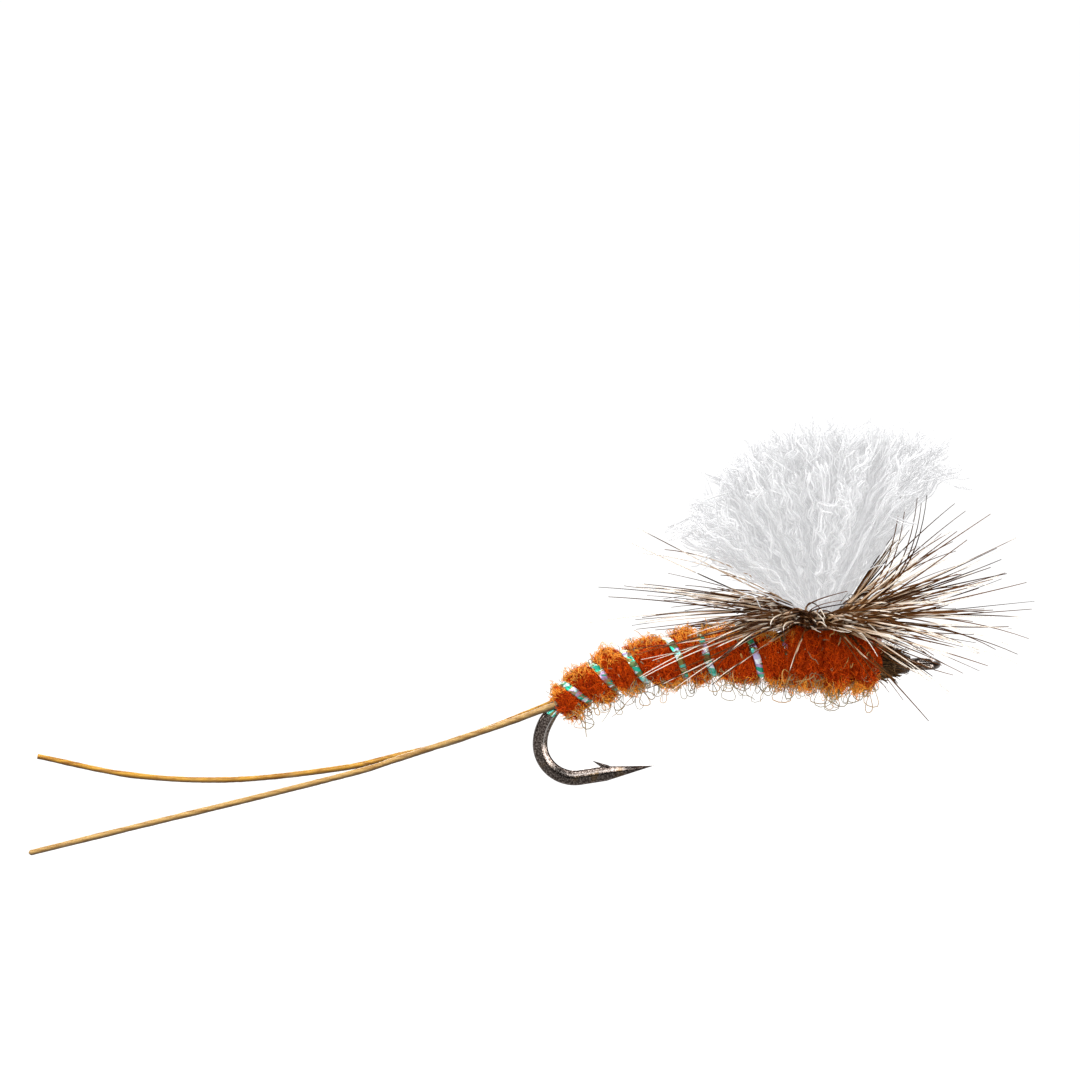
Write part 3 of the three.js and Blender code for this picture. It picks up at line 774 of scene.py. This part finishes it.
def fur_fibre(name, deep, bright, golden, pale, share):
    """Single fur fibres: deep or bright near the skin, golden where the tone carries the coat's painted rim light
    and a random share, and pale as strays.
    """
    f = Finish(name)
    lot, _ = f.lie()
    tone = f.tone()
    colour = f.mix(lot, deep, bright)
    colour = f.mix(tone.above(0.4, 1.0), colour, golden)
    colour = f.mix(tone.above(1.0, 2.0), colour, pale)
    return f.surface(
        glow=colour, glow_share=share, base_color=colour, roughness=0.6, specular_ior_level=0.1,
        # painted glow: a faint emission in the fibre's own colour stands in for light scattered through the fur
        emission_color=colour, emission_strength=0.1,
    )


def fur(name, families, seed):
    """Joins families of (paths, tone, radius) into one piece, fibres all of the same number of points."""
    paths = np.concatenate([p for p, _, _ in families])
    tones = np.concatenate([np.broadcast_to(np.asarray(t, float), (len(p), 1)) for p, t, _ in families])
    dice = np.random.default_rng(seed)
    radii = np.concatenate([thin(len(p), p.shape[1], radius, dice) for p, _, radius in families])
    return fibres(name, paths, radii, tone=tones)


RUST = [(0.34, 0.02, 0.0008), (0.82, 0.12, 0.003), (1.0, 0.5, 0.06), (0.34, 0.28, 0.17)]
rust_fibre = fur_fibre("rust_fibre", *RUST, share=0.5)


def fur_coat(name, seed, close, halo, loose, counts, top_rim_light_share=1.0):
    """Three families in one coat: close fibres, a halo of lifted ones, and pale loops and strays.

    The halo carries painted rim light: golden on the back and belly, the coat's edges from the front, where light
    from behind glows through the fur, and red on the sides. Its tone follows the sine of the angle above or below
    the shank, plus a random share.
    """
    dice = np.random.default_rng(seed)
    near = close(dice, counts[0])
    lifted = halo(dice, counts[1])
    free = loose(dice, counts[2])
    middle = lifted[:, lifted.shape[1] // 2]
    shank_height = np.interp(-middle[:, 0], -wire_points[shank_part, 0], wire_points[shank_part, 1])
    above = (middle[:, 2] - shank_height) / np.hypot(middle[:, 1], middle[:, 2] - shank_height)
    pale = dice.uniform(1.5, 2.3, (len(free), 1))
    # painted rim light: fibres well above or below the shank get a golden tone, scaled down on top by the share
    # given for the top
    painted_rim_light = step(np.where(above > 0, above * top_rim_light_share, -above), 0.45, 0.85)[:, None]
    golden = 0.15 + 0.95 * painted_rim_light + dice.uniform(-0.15, 0.35, (len(lifted), 1))
    families = [(near, 0, 0.011), (lifted, golden, 0.0115), (free, pale, 0.02)]
    return keep(paint(fur(name, families, seed + 1), rust_fibre), "rust_dubbing")


def loose_fur(dice, count, span, radius_at, length):
    """Strays and drop-shaped loops, mostly under the body, where the wax lets go of them."""
    below, around = (1.9, 4.4), (0.0, 2 * np.pi)
    return np.concatenate([
        strays(dice, count, 12, span, radius_at, length, below),
        strays(dice, count // 2, 12, span, radius_at, 0.6 * length, around),
        loops(dice, count, 12, span, radius_at, 1.4 * length, below),
        loops(dice, 3 * count // 2, 12, span, radius_at, 0.5 * length, around),
    ])


for k in (0, 1, 2):
    fur_coat(
        f"abdomen_fur_{k + 1}", 21 + 10 * k,
        lambda dice, count: between_ribs(dice, count, 12, 0.8, 0.03, 0.05),
        lambda dice, count: between_ribs(dice, count, 12, 0.6, 0.12, 0.095, 0.14),
        lambda dice, count: loose_fur(dice, count, (0.3, 10.8), dubbed_radius, 0.6),
        (1300, 1000, 32),
    )
keep(paint(abdomen, rust_fur("rust_fur")), "rust_dubbing", "abdomen_dubbing")

# %% [markdown]
# ## The tinsel rib
# Pearl tinsel is a clear film whose thickness splits white light, so small patches flash green, teal, gold and
# lilac. It is a flat strip laid along the groove. A film effect depends on the eye's angle, which would not
# survive outside this scene, so the flashes are patches of colour on the strip itself, under a hard gloss.
# %% Rib
TINSEL_HALF_WIDTH, TINSEL_THICKNESS = 0.17, 0.02


def tinsel_strip(turns, along, radius):
    """A thin flat strip laid at these turns and lengths, slightly crowned and wrinkled."""
    angle = (turns + 0.25) * 2 * np.pi
    across = np.linspace(-1, 1, 9)
    wrinkle = ripple(np.stack([turns * 9, turns * 0], -1)[:, None] + across[:, None] * [0, 1.2], 1.0, 31)
    lift = radius[:, None] + 0.016 * wrinkle - 0.02 * across**2
    place, turned = along[:, None] + TINSEL_HALF_WIDTH * across, np.broadcast_to(angle[:, None], lift.shape)
    outer, inner = (on_shank(place, turned, lift - depth) for depth in (0, TINSEL_THICKNESS))
    rings = np.concatenate([outer, inner[:, ::-1]], 1)
    points, faces = closed_skin(rings)
    share = np.repeat(turns, rings.shape[1])
    side = np.tile(np.concatenate([across, across[::-1]]), len(turns))
    return points, faces, np.concatenate([np.stack([share, side], -1), [[0, 0], [0, 0]]])


def tinsel():
    """The wound rib, and the strip's start, which shows on the wire below the tails."""
    turns, start = np.linspace(0.62, 7.05, 1400), np.linspace(-0.12, 0.05, 40)
    rib = tinsel_strip(turns, rib_place(turns), 0.75 * body_radius(rib_place(turns)) + 0.06)
    tag = tinsel_strip(start, 0.2 * start - 0.08, np.full(40, 0.385))
    return mesh_piece("tinsel_rib", *joined(rib[:2], tag[:2]), uv=np.concatenate([rib[2], tag[2]]))


def pearl():
    """Patches of colour across the strip, each with its own hue, over fine lines along it, mirror-bright."""
    f = Finish("pearl_film")
    uv = f.node("ShaderNodeUVMap", {"uv_map": "lie"})
    at = f.node("ShaderNodeMapping", None, {"Vector": uv, "Scale": (26, 0.35, 1)})
    cells = {"Vector": at, "Scale": 1.0, "Randomness": 0.9}
    patch = f.node("ShaderNodeTexVoronoi", {"feature": "F1"}, cells, "Color")
    hue = f.node("ShaderNodeSeparateColor", None, {"Color": patch}, "Red")
    shift = f.noise(f.place(), 3.0, 2)
    colour = f.ramp(
        hue * 0.8 + shift * 0.2,
        (0.0, (0.01, 0.22, 0.13)), (0.22, (0.015, 0.42, 0.27)), (0.38, (0.12, 0.5, 0.45)),
        (0.48, (0.75, 0.86, 0.88)), (0.57, (0.4, 0.3, 0.6)), (0.66, (0.26, 0.2, 0.04)),
        (0.8, (0.1, 0.09, 0.03)), (1.0, (0.04, 0.32, 0.1)),
    )
    fine = f.noise(f.node("ShaderNodeMapping", None, {"Vector": uv, "Scale": (60, 6, 1)}), 1.0, 3)
    return f.surface(
        base_color=colour, metallic=0.75, roughness=0.32 + 0.25 * fine, coat_weight=0.15,
        normal=f.bump(fine, 0.02, 0.6),
    )


keep(paint(tinsel(), pearl()), "pearl_tinsel", "rib_tinsel")

# %% [markdown]
# ## Thorax
# In front of the last rib the fur is wound plain and thicker, up to the foot of the wing and past it, in a
# few bulging turns. Its underside keeps longer, curlier fibres, which hang down in loops.
# %% Thorax
THORAX = (10.6, 15.0)


def thorax_radius(along, angle):
    """Three bulges in a row, each a rounded arch of the length, the last one plump and blunt."""
    turns = np.interp(along, [10.6, 12.35, 13.65, 15.0], [0, 1, 2, 3])
    arch = np.sqrt(np.clip(np.sin(np.pi * (turns % 1)), 0.02, 1))
    size = np.interp(along, [10.6, 11.6, 12.4, 14.0, 14.7, 15.0], [1.15, 1.36, 1.4, 1.36, 1.2, 0.7])
    at = np.stack(np.broadcast_arrays(along, np.cos(angle) * 1.4, np.sin(angle) * 1.4), -1)
    return size * (0.72 + 0.28 * arch) + 0.06 * ripple(at, 1.4, 41)


thorax = core("thorax_core", THORAX, thorax_radius, 420, 96, seed=43)
# painted shade: the thorax's golden rim light is kept weaker on top, where the hackle shades it
for k in (0, 1):
    fur_coat(
        f"thorax_fur_{k + 1}", 44 + 10 * k,
        lambda dice, count: hugging(dice, count, 12, THORAX, thorax_radius, 0.7, 0.03, 0.05),
        lambda dice, count: hugging(dice, count, 12, THORAX, thorax_radius, 0.6, 0.16, 0.085),
        lambda dice, count: loose_fur(dice, count, THORAX, thorax_radius, 0.7),
        (1400, 1200, 30), top_rim_light_share=0.6,
    )
keep(paint(thorax, rust_fur("thorax_rust")), "rust_dubbing", "thorax_dubbing_rear", "thorax_dubbing_front")

# %% [markdown]
# ## The wing post
# The wing is a hank of crimped white yarn, folded up off the shank, bound at its foot and cut to a fan. Each
# filament is a curve from the foot to its own place on the cut edge, with a crimp that swings from side to
# side, and many end in a small hook where the scissors let the crimp spring back. They cling in small bunches.
# %% Wing yarn
POST = np.array([10.87, 0.0])
FOOT_Z = 7.3
YARN_STEPS = 34
# headings from the tails forward, and how long the yarn is cut at each, in mm
FAN = np.radians([-64, -53, -40, -22, -6, 12, 27, 34, 41])
FAN_LENGTH = [5.4, 7.5, 7.6, 8.1, 8.5, 8.7, 9.1, 9.4, 8.0]
BUNCH = 5


def leaning(fan, tilt):
    """Unit vectors that lean forward by the angle fan and aside by the angle tilt."""
    return np.concatenate([np.sin(fan) * np.cos(tilt), np.sin(tilt), np.cos(fan) * np.cos(tilt)], -1)


def yarn(count, seed, crimp, fan_spread):
    """Filaments: foot inside the binding, then out along the fan angle, with a swinging crimp and a hooked tip.

    Those of one bunch share their heading, length and crimp, but for a little scatter.
    """
    dice = np.random.default_rng(seed)
    bunches = np.arange(count) // BUNCH

    def shared(value, scatter=0.0):
        return value[bunches] + dice.normal(0, 1, (count,) + value.shape[1:]) * scatter

    share = np.linspace(0, 1, YARN_STEPS)[None, :]
    few = bunches[-1] + 1
    side = shared(dice.uniform(-1, 1, (few, 1)), 0.012).clip(-1, 1)
    aside = np.where(side < -0.8, 33 + 125 * (-0.8 - side), np.where(side < 0, 41, 38) * np.abs(side))
    fan = np.radians(-3 + np.sign(side) * aside * fan_spread + shared(dice.normal(0, 4, (few, 1))))
    fan = fan.clip(FAN[0], FAN[-1])
    tilt = np.radians(shared(dice.normal(0, 15, (few, 1)), 0.8)).clip(-0.6, 0.6) * np.cos(fan)
    shortfall = 0.06 * shared(dice.exponential(1, (few, 1)).clip(0, 4), 0.3)
    length = np.interp(fan, FAN, FAN_LENGTH) * np.cos(tilt) * (1 - shortfall)
    turn = shared(dice.uniform(0, 6.28, (few, 1)), 0.1)
    ring = 0.7 * np.sqrt(shared(dice.uniform(0, 1, (few, 1))))
    foot_x, foot_y = 0.35 * ring * np.cos(turn) + 0.62 * np.sin(fan) * 0.9, ring * np.sin(turn) * 0.8
    heading = leaning(fan, tilt)
    open_out = (share**1.15)[..., None]
    rise = np.stack([0 * share, 0 * share, share * (1 - share) * 0.9], -1)
    path = np.concatenate([POST[0] + foot_x, POST[1] + foot_y, np.full((count, 1), FOOT_Z)], -1)[:, None]
    path = path + heading[:, None] * length[..., None] * open_out + rise
    first = unit(np.cross(heading, shared(dice.normal(size=(few, 3)), 0.1)))
    second = np.cross(heading, first)
    beats = shared(dice.uniform(6.0, 10.5, (few, 1)), 0.05) * length / 7.5
    phase = shared(dice.uniform(0, 6.28, (few, 1)), 0.3)
    height = crimp * shared(dice.uniform(0.5, 1.5, (few, 1)), 0.1) * step(share, 0.02, 0.35)
    path = path + (height * np.sin(6.28 * beats * share + phase))[..., None] * first[:, None]
    path = path + (0.8 * height * np.sin(6.28 * beats * 0.61 * share + 2 * phase))[..., None] * second[:, None]
    drift = curls(dice, few, YARN_STEPS, 0.13, 0.7)[bunches] + curls(dice, count, YARN_STEPS, 0.09, 0.7)
    path = path + drift * share[..., None]
    hooked = shared((dice.random((few, 1)) < 0.7) * dice.normal(0, 0.7, (few, 1)), 0.06) * step(share, 0.9, 1.0)
    return path + hooked[..., None] * first[:, None]


def white_yarn():
    """Acrylic filament: white, its colour set faintly grey under a painted glow of emission for light scattered
    many times inside the bundle, with a soft sheen and light let through.
    """
    f = Finish("white_yarn")
    lot, _ = f.lie()
    colour = f.mix(lot, (0.5, 0.5, 0.505), (0.66, 0.66, 0.665))
    # painted glow: a near-white emission that stands in for light scattered inside the yarn
    painted_glow = f.mix(lot, (0.7, 0.7, 0.71), (0.8, 0.8, 0.805))
    return f.surface(
        glow=colour, glow_share=0.5, base_color=colour, roughness=0.45, specular_ior_level=0.3,
        emission_color=painted_glow, emission_strength=0.78,
    )


yarn_finish = white_yarn()
layers = [
    ("wing_yarn_inner", 900, 61, 0.08, 0.85), ("wing_yarn_middle", 900, 62, 0.1, 0.96),
    ("wing_yarn_outer", 900, 63, 0.13, 1.04),
]
locks = [[f"wing_lock_{k}" for k in group] for group in ((1, 2, 3), (4, 5), (6, 7))]
for (name, count, seed, crimp, spread), nodes in zip(layers, locks):
    paths = yarn(count, seed, crimp, spread)
    radii = thin(count, YARN_STEPS, 0.033, np.random.default_rng(seed + 5), tip=0.8)
    keep(paint(fibres(name, paths, radii), yarn_finish), "white_yarn", *nodes)

# a few filaments have worked loose and wave about outside the brush
dice = np.random.default_rng(68)
stray_count = 70
share = np.linspace(0, 1, YARN_STEPS)[None, :, None]
fan = np.radians(dice.uniform(-78, 62, (stray_count, 1)))
tilt = np.radians(dice.normal(0, 25, (stray_count, 1)))
heading = leaning(fan, tilt)[:, None]
foot = np.array([POST[0], POST[1], FOOT_Z]) + heading * [0.5, 0.5, 0.2]
reach = dice.uniform(1.8, 6.0, (stray_count, 1, 1))
stray_yarn = foot + heading * reach * share + curls(dice, stray_count, YARN_STEPS, 0.35, 0.8) * share**0.7
stray_radii = thin(stray_count, YARN_STEPS, 0.023, dice, tip=0.8)
keep(paint(fibres("wing_yarn_strays", stray_yarn, stray_radii), yarn_finish), "white_yarn")

# %% [markdown]
# ## The hackle
# The hackle is a rooster feather wound flat round the foot of the wing. Its quill makes a low coil, and from
# it the barbs stand out all round: stiff, tapering, glossy, and barred dark brown and cream. They leave the
# quill slantwise and stick together in small sheaves, so they are made sheaf by sheaf, each barb a curve that
# swings from the quill's direction to its own.
# %% Hackle
COIL_RADIUS, COIL_TOP, COIL_PITCH = 1.02, 7.61, 0.19
COIL_TURNS = 4


def coil(turns):
    """The quill's line: a circle round the post that sinks by COIL_PITCH each turn."""
    angle = turns * 2 * np.pi
    x, y = POST[0] + COIL_RADIUS * np.cos(angle), COIL_RADIUS * np.sin(angle)
    return np.stack([x, y, COIL_TOP - COIL_PITCH * turns], -1)


def barbs(name, heading, rise, run, seed, each, swing=0.3, radius=0.043):
    """Barbs in sheaves of each: one heading, rise and length in mm per sheaf, a little scatter for each barb.

    The heading turns from forward (0) over the far side (a quarter turn) to the tails. Each barb leaves the
    coil turned by swing towards the quill's own direction, and straightens with the 0.55th power of the
    way out, bowing a little up or down.
    """
    dice = np.random.default_rng(seed)
    sheaves, count = len(heading), len(heading) * each
    heading = np.repeat(heading, each) + dice.normal(0, 0.05, count)
    rise = (np.repeat(rise, each) + np.radians(dice.normal(0, 1.6, count)))[:, None]
    run = np.repeat(run, each) * dice.uniform(0.72, 1.0, count)
    swing = np.repeat(dice.normal(swing, 0.15, sheaves), each) + dice.normal(0, 0.03, count)
    turns = np.floor(dice.uniform(0, COIL_TURNS, count)) + ((heading - swing) / (2 * np.pi)) % 1
    share = np.linspace(0, 1, 13)[None, :]
    turn = heading[:, None] - swing[:, None] * (1 - share**0.55)
    out = COIL_RADIUS + (run[:, None] * np.cos(rise) - COIL_RADIUS) * share
    bow = np.repeat(dice.normal(0.5, 0.7, sheaves), each)[:, None] + dice.normal(0, 0.25, (count, 1))
    x = POST[0] + out * np.cos(turn)
    y = POST[1] + out * np.sin(turn)
    z = coil(turns)[:, 2:] + run[:, None] * np.sin(rise) * share + bow * (share * (1 - share))
    radii = radius * dice.uniform(0.7, 1.25, (count, 1)) * (1.02 - 0.66 * share**1.4)
    kind = np.repeat(dice.random(sheaves), each) + dice.normal(0, 0.12, count)
    return fibres(name, np.stack([x, y, z], -1), radii, tone=kind.clip(0, 1))


def ring_of_sheaves(count, seed, shortest, longest):
    """Headings crowded to the two sides, and rises that fan out most there and stay level in front."""
    dice = np.random.default_rng(seed)
    even = (np.arange(count) + dice.uniform(-0.5, 0.5, count)) / count * 2 * np.pi
    heading = even - 0.4 * np.sin(2 * even)
    side, back = np.cos(heading), np.sin(heading)
    middle = side + np.where(back > 0, 6 * back, -5 * back)
    fan = np.where(side > 0, 4 + 12 * side, 4 - 2.5 * side)
    lean = np.where(side > 0, dice.gamma(1.3, 0.9, count) - 0.85, dice.normal(0, 1, count))
    rise = np.radians((middle + fan * lean).clip(-20, 46))
    return heading, rise, dice.uniform(shortest, longest, count)


def barred():
    """Feather barb: dark brown and cream in long bars, each sheaf its own share of the two."""
    f = Finish("barred_barb")
    lot, share = f.lie()
    kind = f.tone()
    bars = (share * 8 + kind * 23 + lot * 1.6).wave()
    root = 1 - share.above(0.02, 0.22)
    dark = (bars * 0.6 + (0.48 - kind) * 2.6 + (share - 0.4) * 0.9 + root * 1.5 + 0.2).above(-0.12, 0.22)
    brown = f.mix(lot, (0.025, 0.008, 0.002), (0.17, 0.065, 0.018))
    cream = f.mix(lot, (0.78, 0.6, 0.43), (0.5, 0.3, 0.15))
    cream = f.mix(share.above(0.3, 0.75), cream, (0.9, 0.82, 0.72))
    colour = f.mix(dark, cream, brown)
    return f.surface(glow=colour, glow_share=0.3, base_color=colour, roughness=0.45, specular_ior_level=0.04)


def brown_horn():
    """The feather's quill: brown horn with darker flakes."""
    f = Finish("hackle_quill")
    flakes = f.noise(f.place(3, 3, 9), 1.2, 3)
    colour = f.ramp(flakes, (0.35, (0.06, 0.03, 0.018)), (0.7, (0.3, 0.19, 0.11)))
    return f.surface(base_color=colour, roughness=0.4, normal=f.bump(flakes, 0.02))


coil_turns = np.linspace(0, COIL_TURNS, 500)
stem_radius = 0.1 - 0.03 * coil_turns / COIL_TURNS + 0.008 * np.sin(coil_turns * 150)
stem = mesh_piece("hackle_quill", *closed_skin(swept(coil(coil_turns), ring_section(stem_radius, 12, 1.1))))
keep(paint(stem, brown_horn()), "barred_hackle", "hackle_feather")
barb_finish = barred()
for name, ring, seed, look in (
    ("hackle_long_barbs", ring_of_sheaves(36, 71, 7.2, 10.9), 72, {"each": 3, "radius": 0.046}),
    ("hackle_barbs", ring_of_sheaves(40, 73, 4.0, 8.0), 74, {"each": 4, "radius": 0.048}),
    ("hackle_short_barbs", ring_of_sheaves(52, 75, 2.4, 4.6), 76, {"each": 6, "radius": 0.05, "swing": 0.5}),
):
    keep(paint(barbs(name, *ring, seed, **look), barb_finish), "barred_hackle")
loose = np.array([  # heading and rise in degrees, and length: barbs caught under the thread or turned back
    [196, -12, 10.4], [199, -15, 10.0], [197, -18, 9.7], [202, -22, 8.7], [205, -25, 8.0], [193, -9, 10.2],
    [332, -39, 6.6], [340, -27, 7.6], [345, -17, 8.6], [350, -9, 9.4], [240, -36, 5.6], [312, -38, 5.6],
    [184, 24, 9.8], [176, 20, 10.1], [190, 12, 10.0], [187, 10, 10.1], [8, 28, 9.3], [352, 20, 9.3],
    [20, 32, 8.0], [356, 10, 10.2], [5, 4, 9.7], [12, 22, 9.0], [2, 38, 8.2], [346, 30, 8.8],
    [334, -20, 5.6], [340, -15, 6.0], [346, -19, 6.3], [350, -13, 6.6], [355, -16, 6.0], [343, -23, 5.4],
    [328, -17, 5.0], [320, -22, 4.6], [337, -11, 6.4], [347, -24, 5.8], [324, -28, 4.9], [352, -21, 6.8],
])
loose_sheaves = (np.radians(loose[:, 0]), np.radians(loose[:, 1]), loose[:, 2])
keep(paint(barbs("hackle_loose_barbs", *loose_sheaves, 79, each=2), barb_finish), "barred_hackle")

# a few barbs stand up in front of the wing, each a parabola from the coil over a knee to its tip
tips = np.array([
    [14.1, -1.8, 12.9], [14.3, -1.7, 12.3], [14.85, -1.5, 12.7], [15.05, -1.3, 12.4], [15.25, -1.6, 12.8],
])
foot, knee = np.array([11.5, -0.7, 7.5]), tips * [1, 0.8, 0] + [-0.35, 0, 8.1]
share = np.linspace(0, 1, 16)[None, :, None]
stood = foot * (1 - share) ** 2 + 2 * knee[:, None] * share * (1 - share) + tips[:, None] * share**2
stood_radii = 0.052 * (1.02 - 0.66 * share[..., 0] ** 1.4) * np.ones((len(tips), 1))
stood_barbs = fibres("hackle_stood_barbs", stood, stood_radii, tone=np.full(len(tips), 0.02))
keep(paint(stood_barbs, barb_finish), "barred_hackle")

# %% [markdown]
# ## Thread and head
# Brown waxed thread binds the wing's foot and closes the head behind the eye. The head itself is a short cone
# of brown fur and clipped barb butts that lie forward over the wire.
# %% Head
HEAD = (14.75, 16.1)


def head_radius(along, angle):
    """A blunt cone: the radius falls from the thorax to the wire in a hollow curve."""
    share = np.clip((along - HEAD[0]) / (HEAD[1] - HEAD[0]), 0, 1)
    at = np.stack(np.broadcast_arrays(along, np.cos(angle), np.sin(angle)), -1)
    return 0.3 + 0.42 * (1 - share) + 0.04 * ripple(at, 0.9, 81)


def wound_thread(name, rings, line, turns, strand):
    """A sleeve with one helical ridge per turn of thread: the radius swells by the sine of half a turn."""
    share = np.linspace(0, 1, line)
    around = np.arange(48) / 48
    ridge = np.abs(np.sin(np.pi * (share[:, None] * turns - around[None, :])))
    return mesh_piece(name, *closed_skin(rings(share[:, None], around[None, :] * 2 * np.pi, strand * ridge)))


def head_rings(share, angle, ridge):
    """Rings round the wire behind the eye, narrowing forward, and drawn in at both ends."""
    along = 15.66 + 0.72 * share + 0 * angle
    closing = np.sqrt(np.clip(np.minimum(share, 1 - share) / 0.06, 0.05, 1))
    return on_shank(along, angle + 0 * share, (0.47 - 0.14 * share**1.4 + ridge) * closing)


def post_rings(share, angle, ridge):
    """Upright rings round the wing's foot, drawn in at both ends."""
    radius = (0.86 + ridge) * np.sqrt(np.clip(np.minimum(share, 1 - share) / 0.05, 0.03, 1))
    x, y = POST[0] + radius * np.cos(angle), radius * np.sin(angle)
    return np.stack([x, y, 6.7 + 0.82 * share + 0 * angle], -1)


def waxed_thread():
    """Dark brown thread, its wax a little fuzzy with fibres."""
    f = Finish("waxed_thread")
    fuzz = f.noise(f.place(12, 3, 3), 1.0, 4)
    colour = f.ramp(fuzz, (0.3, (0.018, 0.009, 0.004)), (0.7, (0.075, 0.042, 0.02)))
    return f.surface(base_color=colour, roughness=0.45 + 0.2 * fuzz, normal=f.bump(fuzz, 0.015, 0.7))


thread_finish = waxed_thread()
for name, node, winding in (
    ("head_thread", "thread_head", (head_rings, 160, 9, 0.03)),
    ("post_thread", "post_thread_wraps", (post_rings, 220, 12, 0.04)),
):
    keep(paint(wound_thread(name, *winding), thread_finish), "thread", node)
for node in ("thread_base", "tail_lashing", "post_anchor_rear", "post_anchor_front"):
    paint(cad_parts[node], thread_finish)


def brown_fur():
    """The head's inner mass: very dark strands along the wire, and olive brown painted as a highlight where they
    would catch light.
    """
    f = Finish("brown_fur")
    strands = f.noise(f.place(2.2, 7, 7), 1.0, 5)
    dark, brown, light = (0.007, 0.0035, 0.0012), (0.025, 0.013, 0.0045), (0.09, 0.05, 0.018)
    # painted highlight: the lightest stop, where the strands would catch light
    colour = f.ramp(strands, (0.3, dark), (0.52, brown), (0.75, light))
    return f.surface(
        base_color=colour, roughness=0.7 + 0.2 * strands, specular_ior_level=0.15,
        normal=f.bump(strands, 0.04, 0.8),
    )


head = core("head_core", HEAD, head_radius, 160, 72, seed=83)
dice = np.random.default_rng(84)
share = np.linspace(0, 1, 9)[None, :]
each = (700, 1)
start, turn = dice.uniform(14.4, 15.2, each), dice.uniform(0, 6.28, each)
lain = start + dice.uniform(0.5, 1.15, each) * share
angle = turn + dice.normal(0.25, 0.3, each) * share
butts = on_shank(lain, angle, head_radius(lain, angle) + 0.02 + 0.1 * dice.exponential(1, each) * share**2)
fuzz = strays(dice, 60, 9, (14.7, 15.6), head_radius, 0.35)
butt_lift = dice.uniform(0, 1.4, each)
head_fur = fur("head_fur", [(butts, butt_lift, 0.022), (fuzz, 1.4, 0.015)], 85)
keep(paint(head, brown_fur()), "brown_dubbing", "head_dubbing")
BROWN = [(0.01, 0.004, 0.0015), (0.045, 0.022, 0.008), (0.09, 0.045, 0.016), (0.25, 0.18, 0.1)]
keep(paint(head_fur, fur_fibre("brown_fibre", *BROWN, share=0.1)), "brown_dubbing")
